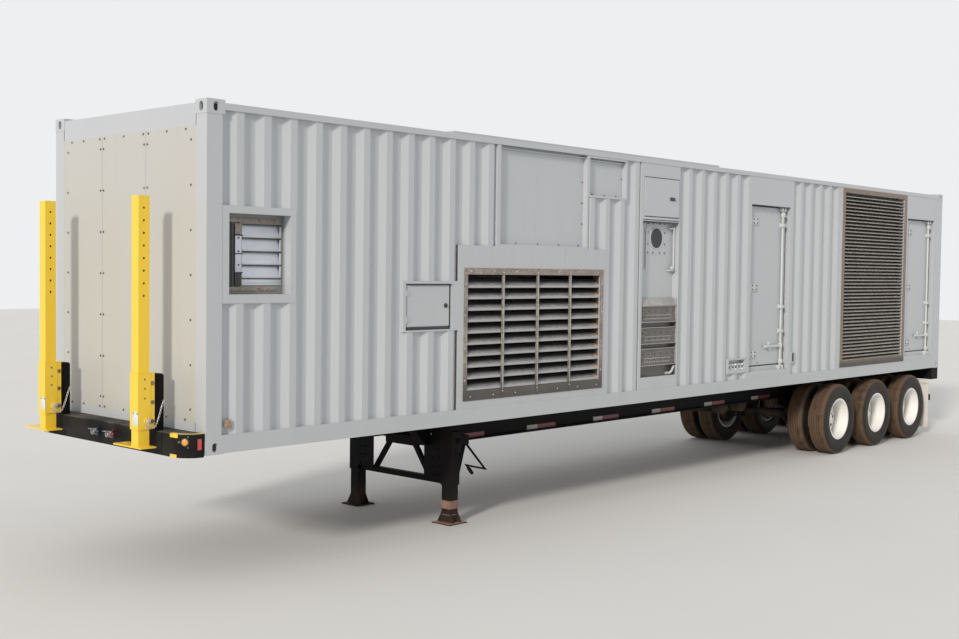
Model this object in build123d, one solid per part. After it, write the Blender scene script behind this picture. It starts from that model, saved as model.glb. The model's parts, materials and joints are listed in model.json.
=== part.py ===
from build123d import *
import math
import os

os.makedirs("parts", exist_ok=True)

# Containerised diesel generator set, 48 ft high-cube, locked on a gooseneck container trailer.
# Millimetres. Working frame: x runs rearward from the container's front face, y from the near
# side face to the far one, and z up from the undersides of the corner castings.

# Container body
LENGTH = 14630.0
WIDTH = 2438.0
HEIGHT = 2896.0
POST_X = 155.0
POST_Y = 150.0
POST_INSET = 3.0
CASTING_X = 178.0
CASTING_Y = 162.0
CASTING_Z = 118.0
CASTING_WALL = 28.0
SIDE_SLOT = (78.0, 52.0)
FOOT_SLOT = (124.0, 62.0)
RAIL_BOTTOM = 6.0
RAIL_TOP = 156.0
RAIL_DEPTH = 55.0
RAIL_GAUGE = 8.0
TOP_RAIL_BOTTOM = HEIGHT - 81.0
TOP_RAIL_TOP = HEIGHT - 25.0
TOP_RAIL_DEPTH = 60.0

# Wall sheeting: trapezoid ribs on a flat acoustic backing
FACE = 6.0
RIB_FACE = 10.0
RIB_DEPTH = 36.0
RIB_START = 301.0
RIB_PITCH = 279.3
RIB_FLAT = 72.0
RIB_SLOPE = 68.0
WALL_BACK = 100.0
SHEET = 8.0
PLATE = 4.0

# End walls: three bolted sheets on a backing
END_FACE = 4.0
SEAM = 4.0
SEAM_1 = 900.0
SEAM_2 = 1610.0
SILL_BOTTOM = 130.0
SILL_TOP = 256.0
HEADER_BOTTOM = HEIGHT - 207.0
LEDGE_TOP = 175.0
LEDGE_OUT = 12.0

# Floor and roof
FLOOR_SHEET = 26.0
FLOOR_BEAM_BOTTOM = 14.0
FLOOR_BEAM_COUNT = 24
FLOOR_BEAM_WIDTH = 60.0
TUNNEL_LENGTH = 3500.0
TUNNEL_WIDTH = 1029.0
ROOF_LOW = HEIGHT - 54.0
ROOF_HIGH = HEIGHT - 34.0
ROOF_PITCH = 320.0
COVER_FRONT = 3160.0
COVER_REAR = 8080.0
COVER_INSET = 300.0
COVER_TOP = HEIGHT + 39.0
COVER_LIP = 20.0

# Shutter bay at the front of the near side
SHUTTER_X = (160.0, 923.0)
SHUTTER_Z = (1238.0, 2044.0)
SHUTTER_HOLE_X = (226.0, 864.0)
SHUTTER_HOLE_Z = (1311.0, 1982.0)
SHUTTER_BACK = 166.0
SHUTTER_DEPTH = 40.0
SHUTTER_EDGE = 12.0
BLADE_LEFT = 440.0
BLADE_COUNT = 4
BLADE_TOP = 1898.0
BLADE_PITCH = 114.0
BLADE_GAP = 6.0
BLADE_THICK = 6.0
BLADE_LEAN = 22.0
BLADE_HEM = 8.0
TRAY_EDGE = 24.0
TRAY_DEPTH = 18.0
TRAY_END = 60.0
LINK_X = (366.0, 430.0)
LINK_Z = (1490.0, 1800.0)

# Junction box
JUNCTION_X = (2199.0, 2965.0)
JUNCTION_Z = (944.0, 1428.0)
JUNCTION_HOLE_X = (2236.0, 2848.0)
JUNCTION_HOLE_Z = (959.0, 1399.0)
JUNCTION_DOOR_Z = (992.0, 1384.0)
JUNCTION_DOOR_RIGHT = 2826.0
JUNCTION_RECESS = 30.0
JUNCTION_DOOR_THICK = 14.0
JUNCTION_RIM = 40.0
KNOB_X = 2778.0
KNOB_Z = 1190.0
KNOB_R = 14.0
SMALL_BARREL_R = 6.0
SMALL_BARREL_HALF = 30.0
SMALL_HINGE_IN = 70.0
SMALL_LEAF = 4.0
HINGE_GAP = 0.3

# Intake louvre
INTAKE_X = (2947.0, 5327.0)
INTAKE_TOP = 1784.0
INTAKE_FLANGE_X = (3025.0, 5291.0)
INTAKE_FLANGE_Z = (233.0, 1560.0)
INTAKE_HOLE_X = (3076.0, 5232.0)
INTAKE_HOLE_Z = (328.0, 1494.0)
FLANGE_THICK = 6.0
MULLION_X = (3608.0, 4154.0, 4700.0)
MULLION_WIDTH = 26.0
MULLION_BACK = 14.0
INTAKE_BLADES = 10
INTAKE_RISE = 88.0
INTAKE_LIP = 18.0
INTAKE_END = 13.0

# Blank panels above the intake
BLANK_X = (3500.0, 5720.0)
BLANK_DIVIDE = 5000.0
BLANK_JAMB = 53.0
BLANK_BAR = 22.0
BLANK_DEPTH = 60.0
SMALL_PANEL_BOTTOM = HEIGHT - 536.0

# Connection housing
CONNECT_X = (5995.0, 6800.0)
CONNECT_JAMB = 45.0
CONNECT_RIGHT_JAMB = 12.0
CONNECT_RECESS_Z = (300.0, HEIGHT - 756.0)
CONNECT_DEPTH = 85.0
CONTROL_X = (6068.0, 6770.0)
CONTROL_Z = (HEIGHT - 696.0, HEIGHT - 250.0)
CONTROL_THICK = 8.0
CONTROL_RIM = 24.0
CONTROL_HINGE_IN = 80.0
LATCH_IN = 145.0
LATCH = (90.0, 30.0, 8.0)
PORT_X = 6430.0
PORT_Z = HEIGHT - 951.0
PORT_R = 122.0
PORT_RING = 14.0
PORT_PLATE = 390.0
CABLE_BOXES_Z = ((944.0, 1142.0), (688.0, 886.0), (431.0, 636.0))
CABLE_BOX_OUT = 26.0
CABLE_HOLE_R = 9.0
CABLE_HOLES = 6
SHELF_Z = (1150.0, 1230.0)

# Small boxes low on the near side
GLAND_X = (7950.0, 8410.0)
GLAND_Z = (244.0, 438.0)
GLAND_RIM = 30.0
GLAND_FLOOR = 40.0
GLAND_HEAD = 24.0
GLAND_BACK = 20.0
GLAND_COUNT = 5
GLAND_R = 22.0
GLAND_LENGTH = 70.0
SLOT_X = (9598.0, 9702.0)
SLOT_Z = (310.0, 464.0)
SLOT_RIM = (34.0, 24.0)
SLOT_DEPTH = 54.0

# Personnel doors
FRONT_FRAME_LEFT = 8410.0
HINGE_JAMBS = {"front": 73.0, "rear": 49.0}
OPENINGS = {"front": 1031.0, "rear": 1033.0}
LOCK_JAMBS = {"front": 84.0, "rear": 145.0}
DOOR_RECESS_Z = (226.0, HEIGHT - 448.0)
FRAME_BACK = 150.0
LEAF_FACE = 76.0
LEAF_THICK = 50.0
LEAF_BOTTOM = 302.0
LEAF_TOP = DOOR_RECESS_Z[1] - 8.0
LEAF_GAP = 10.0
STOP_WIDTH = 45.0
HINGE_IN = 20.0
HINGE_Y = 30.0
HINGE_LEAF = 10.0
BARREL_R = 12.0
BARREL_LENGTH = 130.0
HINGE_ZS = (LEAF_TOP - 205.0, 1354.0, 466.0)
STRAP_LENGTH = 200.0
STRAP_THICK = 8.0
STRAP_HALF = 40.0
ROD_INSET = 139.0
ROD_Y = 50.0
ROD_R = 15.0
ROD_CLEARANCE = 0.5
ROD_Z = (262.0, LEAF_TOP - 20.0)
GUIDE_ZS = (LEAF_TOP - 240.0, 1090.0, 760.0)
GUIDE_HALF = 22.0
GUIDE_WING = 8.0
KEEPER_IN = 34.0
KEEPER_THICK = 12.0
KEEPER_TOP = 60.0
KEEPER_FOOT = 50.0
CAM_HALF = 14.0
CAM_REACH = 34.0
CAM_HEIGHT = 25.0
CAM_IN = 80.0
HANDLE_Z = 560.0
HANDLE_LENGTH = 445.0
HANDLE_HALF = 16.0
HASP_HALF = 20.0
HASP_SHARE = 0.6

# Radiator louvres, which end at the rear door's frame
REAR_FRAME_LEFT = LENGTH - POST_X - LOCK_JAMBS["rear"] - OPENINGS["rear"] - HINGE_JAMBS["rear"]
RADIATOR_X = (REAR_FRAME_LEFT - 2258.0, REAR_FRAME_LEFT)
RADIATOR_FRAME_X = (RADIATOR_X[0] + 66.0, RADIATOR_X[1])
RADIATOR_HOLE_X = (RADIATOR_X[0] + 139.0, RADIATOR_X[1] - 86.0)
RADIATOR_HOLE_Z = (259.0, TOP_RAIL_BOTTOM - 68.0)
RADIATOR_SILL = 14.0
SLAT_COUNT = 48
SLAT_END = 16.0
SLAT_RISE = 34.0
SLAT_FRONT = 8.0
SLAT_DEPTH = 46.0

# Trailer
GROUND = 1100.0
BEAM_Y = 774.0
BEAM_FLANGE = 110.0
BEAM_WEB = 12.0
BEAM_PLATE = 14.0
NECK_FRONT = -10.0
NECK_BOTTOM = -40.0
NECK_TOP = 110.0
NECK_REAR = 3420.0
NECK_SLOPE_START = 2950.0
NECK_SLOPE_END = 3230.0
BEAM_BOTTOM = -305.0
BEAM_REAR = LENGTH - 250.0
MEMBER_WIDTH = 80.0
MEMBER_FIRST = 4100.0
MEMBER_COUNT = 9
MEMBER_LAST_IN = 840.0
MEMBER_Z = (BEAM_BOTTOM + 60.0, -60.0)
NECK_MEMBERS = (-520.0, 0.0, 440.0)
NECK_LAST_MEMBER = 2400.0
NECK_MEMBER_TOP = 90.0
BOLSTER_FRONT = -190.0
BOLSTER_Z = (-10.0, 185.0)
BOLSTER_END = 10.0
BOLSTER_END_R = 170.0
REAR_BOLSTER_BOTTOM = -190.0
GUARD_Z = (-560.0, -460.0)
GUARD_DEPTH = 100.0
GUARD_IN = 10.0
GUARD_END = 120.0
GUARD_POST_Y = 650.0
GUARD_POST = (80.0, 90.0)
FLAP_IN = 130.0
FLAP_THICK = 8.0
FLAP_WIDTH = 610.0
FLAP_Z = (-980.0, -210.0)
FLAP_BAR = 20.0
FLAP_BAR_Z = (-250.0, -190.0)
KINGPIN_X = 915.0
KINGPIN_SHANK_R = 36.5
KINGPIN_GROOVE_R = 25.4
KINGPIN_COLLAR_R = 35.7
KINGPIN_SHANK = 34.0
KINGPIN_GROOVE = 35.0
KINGPIN_COLLAR = 15.0
COUPLER_PLATE = 10.0
COUPLER_HALF = 620.0

# Landing gear
GEAR_X = 3370.0
GEAR_Y = 503.0
GEAR_TUBE = 140.0
GEAR_WALL = 10.0
GEAR_GAP = 0.3
GEAR_TOP = -10.0
GEAR_BOTTOM = -700.0
GEAR_SIDE_TOP = -60.0
GEAR_BRACKET_BOTTOM = -640.0
GEAR_BRACKET_IN = 820.0
GEAR_BRACKET = 12.0
GEAR_ARM = 190.0
GEAR_ARM_BOTTOM = -300.0
GEAR_ARM_HEIGHT = 100.0
GEAR_ARM_HALF = 20.0
LEG_TOP = -560.0
FOOT = 260.0
FOOT_PLATE = 12.0
GUSSET = 10.0
GUSSET_TOP = 120.0
BRACE_BAR_Z = (-698.0, -638.0)
BRACE_BAR = 60.0
BRACE_FEET = 430.0
BRACE_HEADS = 190.0
BRACE_SIZE = 46.0
BRACE_PLATE = (460.0, 80.0, 100.0)
BRACE_PLATE_LOW = 40.0
BRACE_TIE_LOW = 20.0
STRUT_HALF = 14.0
STRUT_FOOT = (10.0, 60.0, 30.0)
STRUT_HEAD = (110.0, 150.0)

# Drop legs on the front: square tubes in sleeves, held by pins
DROP_Y = 456.0
DROP_TUBE = 102.0
DROP_WALL = 7.0
DROP_FRONT = -371.0
DROP_TOP = 2108.0
DROP_FOOT_Z = 55.0
DROP_FOOT_X = (-390.0, -245.0)
DROP_FOOT_NEAR = 118.0
DROP_FOOT_FAR = 300.0
DROP_SLOT = (60.0, 22.0)
DROP_SLOT_IN = 60.0
DROP_HOLES = 8
DROP_HOLE_PITCH = 102.0
DROP_HOLE_LOW = 1295.0
DROP_HOLE_R = 10.0
SLEEVE_Z = (205.0, 668.0)
SLEEVE_WALL = 8.0
SLEEVE_GAP = 0.3
SLEEVE_EAR = 38.0
EAR_THICK = 10.0
COLUMN_Y = 92.0
COLUMN_REAR = -130.0
COLUMN_TOP = 655.0
COLUMN_CHAMFER = 14.0

# Running gear
AXLE_SPACING = 1245.0
REAR_AXLE_X = LENGTH - 1080.0
AXLES_X = (REAR_AXLE_X - 2 * AXLE_SPACING, REAR_AXLE_X - AXLE_SPACING, REAR_AXLE_X)
TYRE_R = 515.0
TYRE_WIDTH = 275.0
DUAL_SPACING = 343.0
TYRE_OUT = 30.0
SHOULDER = (34.0, 12.0)
CREST = (10.0, 30.0)
CROWN = 48.0
FLANK = 110.0
BEAD = 20.0
GROOVES = 3
GROOVE_WIDTH = 12.0
GROOVE_DEPTH = 11.0
RIM_R = 286.0
RIM_FLANGE_R = 302.0
RIM_EDGE = 30.0
RIM_LIP = 22.0
RIM_WALL = 10.0
DISC_IN = 40.0
HUB_R = 95.0
HUB_OUT = 75.0
HUB_LENGTH = 215.0
AXLE_R = 64.0
AXLE_END = 170.0
SEAT_HALF = 90.0
SEAT_LOW = 20.0
SPRING_SEAT = 105.0
SPRING_SHORT = 30.0
SPRING_RISE = 75.0
SPRING_THICK = 45.0
SPRING_HALF = 45.0
HANGER_TOP = 110.0
HANGER_FOOT = 70.0
HANGER_OVER = 50.0


def block(x0, x1, y0, y1, z0, z1):
    centre = Pos((x0 + x1) / 2, (y0 + y1) / 2, (z0 + z1) / 2)
    return centre * Box(x1 - x0, y1 - y0, z1 - z0)


def prism_z(points, z0, z1):
    outline = Plane.XY.offset(z0) * Polygon(*points, align=None)
    return extrude(outline, z1 - z0, dir=(0, 0, 1))


def prism_y(points, y0, y1):
    outline = Plane.XZ.offset(-y1) * Polygon(*points, align=None)
    return extrude(outline, y1 - y0, dir=(0, -1, 0))


def prism_x(points, x0, x1):
    outline = Plane.YZ.offset(x0) * Polygon(*points, align=None)
    return extrude(outline, x1 - x0, dir=(1, 0, 0))


def rod_y(x, z, radius, y0, y1):
    return Pos(x, (y0 + y1) / 2, z) * Rot(90, 0, 0) * Cylinder(radius, y1 - y0)


def rod_z(x, y, radius, z0, z1):
    return Pos(x, y, (z0 + z1) / 2) * Cylinder(radius, z1 - z0)


def bar_between(start, end, width, depth):
    line = Line(start, end)
    profile = Plane(origin=line @ 0, z_dir=line % 0) * Rectangle(width, depth)
    return extrude(profile, line.length)


def to_far_side(shape):
    return Pos(0, WIDTH, 0) * mirror(shape, about=Plane.XZ)


def to_rear_end(shape):
    return Pos(LENGTH, 0, 0) * mirror(shape, about=Plane.YZ)


def both_sides(shape):
    return [shape, to_far_side(shape)]


# Corrugated sheeting
def rib_depth(x):
    phase = (x - RIB_START) % RIB_PITCH
    hollow_end = RIB_PITCH - RIB_SLOPE
    if phase <= RIB_FLAT:
        return 0.0
    if phase < RIB_FLAT + RIB_SLOPE:
        return RIB_DEPTH * (phase - RIB_FLAT) / RIB_SLOPE
    if phase <= hollow_end:
        return RIB_DEPTH
    return RIB_DEPTH * (RIB_PITCH - phase) / RIB_SLOPE


def rib_corners(x0, x1):
    corners = []
    for n in range(-2, math.ceil(LENGTH / RIB_PITCH) + 1):
        start = RIB_START + n * RIB_PITCH
        steps = (0.0, RIB_FLAT, RIB_FLAT + RIB_SLOPE, RIB_PITCH - RIB_SLOPE)
        corners += [start + step for step in steps if x0 < start + step < x1]
    return corners


def corrugated(x0, x1, z0=RAIL_TOP, z1=TOP_RAIL_BOTTOM):
    front = [(x, RIB_FACE + rib_depth(x)) for x in [x0] + rib_corners(x0, x1) + [x1]]
    return prism_z(front + [(x1, WALL_BACK), (x0, WALL_BACK)], z0, z1)


# Container frame
def corner_post():
    return block(POST_INSET, POST_X, POST_INSET, POST_Y, CASTING_Z, HEIGHT - CASTING_Z)


def corner_casting():
    body = block(0, CASTING_X, 0, CASTING_Y, 0, CASTING_Z)
    wall = CASTING_WALL
    body -= block(wall, CASTING_X - wall, wall, CASTING_Y - wall, wall, CASTING_Z - wall)
    middle = (CASTING_X / 2, CASTING_Y / 2, CASTING_Z / 2)
    side_slot = Plane.XZ * Pos(middle[0], middle[2]) * SlotOverall(*SIDE_SLOT, rotation=90)
    end_slot = Plane.YZ * Pos(middle[1], middle[2]) * SlotOverall(*SIDE_SLOT, rotation=90)
    foot_slot = Pos(middle[0], middle[1]) * SlotOverall(*FOOT_SLOT)
    body -= extrude(side_slot, -wall)
    body -= extrude(end_slot, wall)
    body -= extrude(foot_slot, wall)
    return body


def four_corners(shape):
    near = [shape, to_rear_end(shape)]
    return near + [to_far_side(s) for s in near]


def top_casting():
    return Pos(0, 0, HEIGHT) * mirror(corner_casting(), about=Plane.XY)


def casting_room():
    bottom = block(0, CASTING_X, 0, CASTING_Y, 0, CASTING_Z)
    top = block(0, CASTING_X, 0, CASTING_Y, HEIGHT - CASTING_Z, HEIGHT)
    return [bottom, top, to_rear_end(bottom), to_rear_end(top)]


def clear_of_castings(shape):
    for room in casting_room():
        shape -= room
    return shape


def bottom_rail():
    low, high = RAIL_BOTTOM, RAIL_TOP
    gauge, depth = RAIL_GAUGE, RAIL_DEPTH
    profile = [(0, low), (depth, low), (depth, low + gauge), (gauge, low + gauge),
               (gauge, high - gauge), (depth, high - gauge), (depth, high), (0, high)]
    return clear_of_castings(prism_x(profile, POST_X, LENGTH - POST_X))


def top_rail():
    rail = block(POST_X, LENGTH - POST_X, 0, TOP_RAIL_DEPTH, TOP_RAIL_BOTTOM, TOP_RAIL_TOP)
    return clear_of_castings(rail)


def end_header():
    return block(END_FACE, WALL_BACK, CASTING_Y, WIDTH - CASTING_Y, HEADER_BOTTOM, TOP_RAIL_TOP)


def end_sill():
    sill = block(END_FACE, WALL_BACK, CASTING_Y, WIDTH - CASTING_Y, SILL_BOTTOM, SILL_TOP)
    ledge = block(END_FACE - LEDGE_OUT, END_FACE, CASTING_Y, WIDTH - CASTING_Y,
                  SILL_BOTTOM, LEDGE_TOP)
    return sill + ledge


def end_frame():
    return [end_header(), end_sill()]


def end_wall():
    wall = block(END_FACE, WALL_BACK, POST_Y, WIDTH - POST_Y, SILL_TOP, HEADER_BOTTOM)
    for seam in (SEAM_1, SEAM_2):
        wall -= block(0, END_FACE + SHEET, seam - SEAM / 2, seam + SEAM / 2,
                      SILL_TOP, HEADER_BOTTOM)
    return wall


# Floor and roof
def floor():
    top = RAIL_TOP - FLOOR_SHEET
    deck = block(POST_X, LENGTH - POST_X, RAIL_DEPTH, WIDTH - RAIL_DEPTH, top, RAIL_TOP)
    tunnel = (WIDTH - TUNNEL_WIDTH) / 2
    first, last = POST_X + CASTING_X, LENGTH - POST_X - CASTING_X
    pitch = (last - first) / (FLOOR_BEAM_COUNT - 1)
    for n in range(FLOOR_BEAM_COUNT):
        x = first + n * pitch
        x0, x1 = x - FLOOR_BEAM_WIDTH / 2, x + FLOOR_BEAM_WIDTH / 2
        if x0 > TUNNEL_LENGTH:
            deck += block(x0, x1, RAIL_DEPTH, WIDTH - RAIL_DEPTH, FLOOR_BEAM_BOTTOM, top)
        else:
            for stub in both_sides(block(x0, x1, RAIL_DEPTH, tunnel, FLOOR_BEAM_BOTTOM, top)):
                deck += stub
    for end in (end_sill(), to_rear_end(end_sill())):
        deck -= end
    return deck


def roof():
    x0, x1 = POST_X, LENGTH - POST_X
    count = int((x1 - x0) / ROOF_PITCH)
    margin = ((x1 - x0) - count * ROOF_PITCH) / 2
    slope = ROOF_HIGH - ROOF_LOW
    points = [(x0, TOP_RAIL_BOTTOM), (x0, ROOF_LOW)]
    for n in range(count):
        start = x0 + margin + n * ROOF_PITCH
        middle = start + ROOF_PITCH / 2
        points += [(start, ROOF_LOW), (start + slope, ROOF_HIGH),
                   (middle - slope, ROOF_HIGH), (middle, ROOF_LOW)]
    points += [(x1, ROOF_LOW), (x1, TOP_RAIL_BOTTOM)]
    sheet = prism_y(points, TOP_RAIL_DEPTH, WIDTH - TOP_RAIL_DEPTH)
    for end in (end_header(), to_rear_end(end_header())):
        sheet -= end
    return to_far_side(clear_of_castings(to_far_side(clear_of_castings(sheet))))


def roof_cover():
    cover = block(COVER_FRONT, COVER_REAR, COVER_INSET, WIDTH - COVER_INSET,
                  ROOF_HIGH, COVER_TOP)
    lip = block(COVER_FRONT - COVER_LIP, COVER_REAR + COVER_LIP, COVER_INSET - COVER_LIP,
                WIDTH - COVER_INSET + COVER_LIP, COVER_TOP - COVER_LIP, COVER_TOP)
    return cover + lip


# Near side sheeting
def near_wall():
    front = clear_of_castings(corrugated(POST_X, BLANK_X[0]))
    front -= block(POST_X, SHUTTER_X[1], 0, FRAME_BACK, *SHUTTER_Z)
    front -= block(*JUNCTION_X, 0, FRAME_BACK, *JUNCTION_Z)
    front -= block(*INTAKE_X, 0, FRAME_BACK, RAIL_TOP, INTAKE_TOP)
    middle = corrugated(BLANK_DIVIDE, CONNECT_X[0])
    middle -= block(*INTAKE_X, 0, FRAME_BACK, RAIL_TOP, INTAKE_TOP)
    middle -= block(BLANK_DIVIDE, BLANK_X[1], 0, FRAME_BACK, SMALL_PANEL_BOTTOM, HEIGHT)
    third = corrugated(CONNECT_X[1], door_edges("front")[0])
    third -= block(*GLAND_X, 0, FRAME_BACK, *GLAND_Z)
    fourth = corrugated(door_edges("front")[3], RADIATOR_X[0])
    fourth -= block(*SLOT_X, 0, FRAME_BACK, *SLOT_Z)
    return [front, middle, third, fourth]


def far_wall():
    plain = clear_of_castings(corrugated(POST_X, RADIATOR_X[0]))
    rear = clear_of_castings(corrugated(RADIATOR_X[1], LENGTH - POST_X))
    return [to_far_side(plain), to_far_side(rear)]


# Shutter bay: a panel set back in the frame, with a tray at its left and blades at its right
def shutter_frame():
    frame = block(POST_X, SHUTTER_X[1], FACE, SHUTTER_BACK, *SHUTTER_Z)
    frame -= block(*SHUTTER_HOLE_X, 0, SHUTTER_BACK, *SHUTTER_HOLE_Z)
    return frame + shutter_panel()


def shutter_panel():
    front = SHUTTER_BACK - SHUTTER_DEPTH
    left, right = SHUTTER_HOLE_X
    low, high = SHUTTER_HOLE_Z
    panel = block(left, right, front, SHUTTER_BACK, low, high)
    panel -= block(BLADE_LEFT, right - SHUTTER_EDGE, front, SHUTTER_BACK,
                   BLADE_TOP - BLADE_COUNT * BLADE_PITCH, BLADE_TOP)
    panel -= block(left + TRAY_EDGE, BLADE_LEFT - TRAY_EDGE, front, front + TRAY_DEPTH,
                   low + TRAY_END, high - TRAY_END)
    return panel + block(*LINK_X, front - PLATE, front + PLATE, *LINK_Z)


def shutter_blades():
    front = SHUTTER_BACK - SHUTTER_DEPTH
    blades = []
    for n in range(BLADE_COUNT):
        high = BLADE_TOP - n * BLADE_PITCH - BLADE_GAP / 2
        low = high - BLADE_PITCH + BLADE_GAP
        hem = low + BLADE_HEM
        nose = front + PLATE + BLADE_THICK
        profile = [(front + BLADE_LEAN, high), (front + BLADE_LEAN + BLADE_THICK, high),
                   (nose, hem), (nose, low), (front - 2, low), (front - 2, hem)]
        blades.append(prism_x(profile, BLADE_LEFT, SHUTTER_HOLE_X[1] - SHUTTER_EDGE))
    return blades


# Junction box
def junction_box():
    box = block(*JUNCTION_X, FACE, WALL_BACK, *JUNCTION_Z)
    box -= block(*JUNCTION_HOLE_X, 0, FACE + JUNCTION_RECESS, *JUNCTION_HOLE_Z)
    low, high = JUNCTION_DOOR_Z
    box -= block(JUNCTION_HOLE_X[0] + JUNCTION_RIM, JUNCTION_DOOR_RIGHT - JUNCTION_RIM, 0,
                 WALL_BACK - RAIL_GAUGE, low + JUNCTION_RIM, high - JUNCTION_RIM)
    axis_x, axis_y = junction_axis()
    for z in (low + SMALL_HINGE_IN, high - SMALL_HINGE_IN):
        bottom, top = z - SMALL_BARREL_HALF, z + SMALL_BARREL_HALF
        box += rod_z(axis_x, axis_y, SMALL_BARREL_R, bottom, top)
        box += block(JUNCTION_HOLE_X[0], axis_x, axis_y - SMALL_LEAF / 2,
                     axis_y + SMALL_LEAF / 2, bottom, top)
    return box


def junction_axis():
    return JUNCTION_HOLE_X[0] + SMALL_BARREL_R + 2, FACE + PLATE


def junction_door():
    axis_x, axis_y = junction_axis()
    left = axis_x + SMALL_BARREL_R + HINGE_GAP
    front = FACE + JUNCTION_RECESS - JUNCTION_DOOR_THICK - FLANGE_THICK
    low, high = JUNCTION_DOOR_Z
    leaf = block(left, JUNCTION_DOOR_RIGHT, front, front + JUNCTION_DOOR_THICK, low, high)
    for z in (low + SMALL_HINGE_IN, high - SMALL_HINGE_IN):
        leaf += block(left, left + SMALL_BARREL_HALF, axis_y - SMALL_LEAF / 2, front,
                      z - STRAP_HALF / 2, z + STRAP_HALF / 2)
    knob = rod_y(KNOB_X, KNOB_Z, KNOB_R, FACE - PLATE, front)
    return leaf + knob


# Intake louvre
def intake_surround():
    plate = block(*INTAKE_X, FACE, WALL_BACK, RAIL_TOP, INTAKE_TOP)
    plate -= block(*JUNCTION_X, 0, FRAME_BACK, *JUNCTION_Z)
    return plate - block(*INTAKE_HOLE_X, 0, FRAME_BACK, *INTAKE_HOLE_Z)


def intake_frame():
    outer = FACE - FLANGE_THICK
    frame = block(*INTAKE_FLANGE_X, outer, FACE, *INTAKE_FLANGE_Z)
    frame -= block(*INTAKE_HOLE_X, -FACE, FRAME_BACK, *INTAKE_HOLE_Z)
    for x in MULLION_X:
        left, right = x - MULLION_WIDTH / 2, x + MULLION_WIDTH / 2
        frame += block(left, right, outer, MULLION_BACK, *INTAKE_HOLE_Z)
        frame += block(left, right, outer - PLATE, outer, *INTAKE_FLANGE_Z)
    return frame


def intake_blades():
    front, back = MULLION_BACK, WALL_BACK - FLANGE_THICK
    bottom, top = INTAKE_HOLE_Z
    pitch = (top - bottom - 2 * INTAKE_END) / INTAKE_BLADES
    blades = []
    for n in range(INTAKE_BLADES):
        low = bottom + INTAKE_END / 2 + n * pitch
        lip = low + INTAKE_LIP
        profile = [(front, low), (front + PLATE, low), (front + PLATE, lip),
                   (back, low + INTAKE_RISE), (back, low + INTAKE_RISE + PLATE),
                   (front, lip + PLATE)]
        blades.append(prism_x(profile, *INTAKE_HOLE_X))
    return blades


# Blank panels
def blank_panels():
    left, right = BLANK_X
    sheet = block(left, right, FACE, WALL_BACK, INTAKE_TOP, TOP_RAIL_BOTTOM)
    sheet -= block(BLANK_DIVIDE, right, 0, FRAME_BACK, INTAKE_TOP, SMALL_PANEL_BOTTOM)
    sheet -= block(left + BLANK_JAMB, BLANK_DIVIDE - BLANK_BAR, 0, FACE + BLANK_DEPTH,
                   INTAKE_TOP + BLANK_BAR, TOP_RAIL_BOTTOM)
    sheet -= block(BLANK_DIVIDE + BLANK_BAR, right - BLANK_BAR, 0, FACE + BLANK_DEPTH,
                   SMALL_PANEL_BOTTOM + BLANK_BAR, TOP_RAIL_BOTTOM - BLANK_BAR)
    return sheet


# Connection housing
def connection_edges():
    return CONNECT_X[0] + CONNECT_JAMB, CONNECT_X[1] - CONNECT_RIGHT_JAMB


def connection_housing():
    left, right = connection_edges()
    housing = block(*CONNECT_X, FACE, FRAME_BACK, RAIL_TOP, TOP_RAIL_BOTTOM)
    housing -= block(left, right, 0, FACE + CONNECT_DEPTH, *CONNECT_RECESS_Z)
    housing -= block(CONTROL_X[0] + CONTROL_RIM, CONTROL_X[1] - CONTROL_RIM, 0,
                     FRAME_BACK - RAIL_GAUGE, CONTROL_Z[0] + CONTROL_RIM,
                     CONTROL_Z[1] - CONTROL_RIM)
    axis_x, axis_y = control_axis()
    for z in (CONTROL_Z[0] + CONTROL_HINGE_IN, CONTROL_Z[1] - CONTROL_HINGE_IN):
        low, high = z - SMALL_BARREL_HALF, z + SMALL_BARREL_HALF
        housing += rod_z(axis_x, axis_y, SMALL_BARREL_R, low, high)
        housing += block(axis_x - SMALL_LEAF / 2, axis_x + SMALL_LEAF / 2, axis_y, FACE,
                         low, high)
    return housing


def control_axis():
    return CONTROL_X[0] - SMALL_BARREL_R - HINGE_GAP, FACE - SMALL_BARREL_R - 1


def control_door():
    face = FACE - 1 - CONTROL_THICK
    leaf = block(*CONTROL_X, face, FACE - 1, *CONTROL_Z)
    width, height, depth = LATCH
    latch_x = CONTROL_X[1] - LATCH_IN
    latch_z = (CONTROL_Z[0] + CONTROL_Z[1]) / 2 - depth
    return leaf + block(latch_x - width / 2, latch_x + width / 2, face - depth, face,
                        latch_z - height / 2, latch_z + height / 2)


def port_cover():
    back = FACE + CONNECT_DEPTH
    front = back - PLATE
    half = PORT_PLATE / 2
    plate = block(PORT_X - half, PORT_X + half, front, back, PORT_Z - half, PORT_Z + half)
    ring = rod_y(PORT_X, PORT_Z, PORT_R + PORT_RING, front - 2 * PLATE, front)
    ring -= rod_y(PORT_X, PORT_Z, PORT_R, front - 2 * PLATE, front)
    return plate + ring + rod_y(PORT_X, PORT_Z, PORT_R, front - PLATE, front)


def cable_boxes():
    back = FACE + CONNECT_DEPTH
    left, right = connection_edges()
    pitch = (right - left) / CABLE_HOLES
    boxes = []
    for low, high in CABLE_BOXES_Z:
        box = block(left, right, CABLE_BOX_OUT, back, low, high)
        third = (high - low) / 3
        for n in range(CABLE_HOLES):
            x = left + pitch * (n + 0.5)
            for z in (low + third, high - third):
                box -= rod_y(x, z, CABLE_HOLE_R, 0, back - PLATE)
        boxes.append(box)
    return boxes


def shelf():
    back = FACE + CONNECT_DEPTH
    low, high = SHELF_Z
    return prism_x([(CABLE_BOX_OUT, low), (back, low), (back, high)], *connection_edges())


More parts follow.
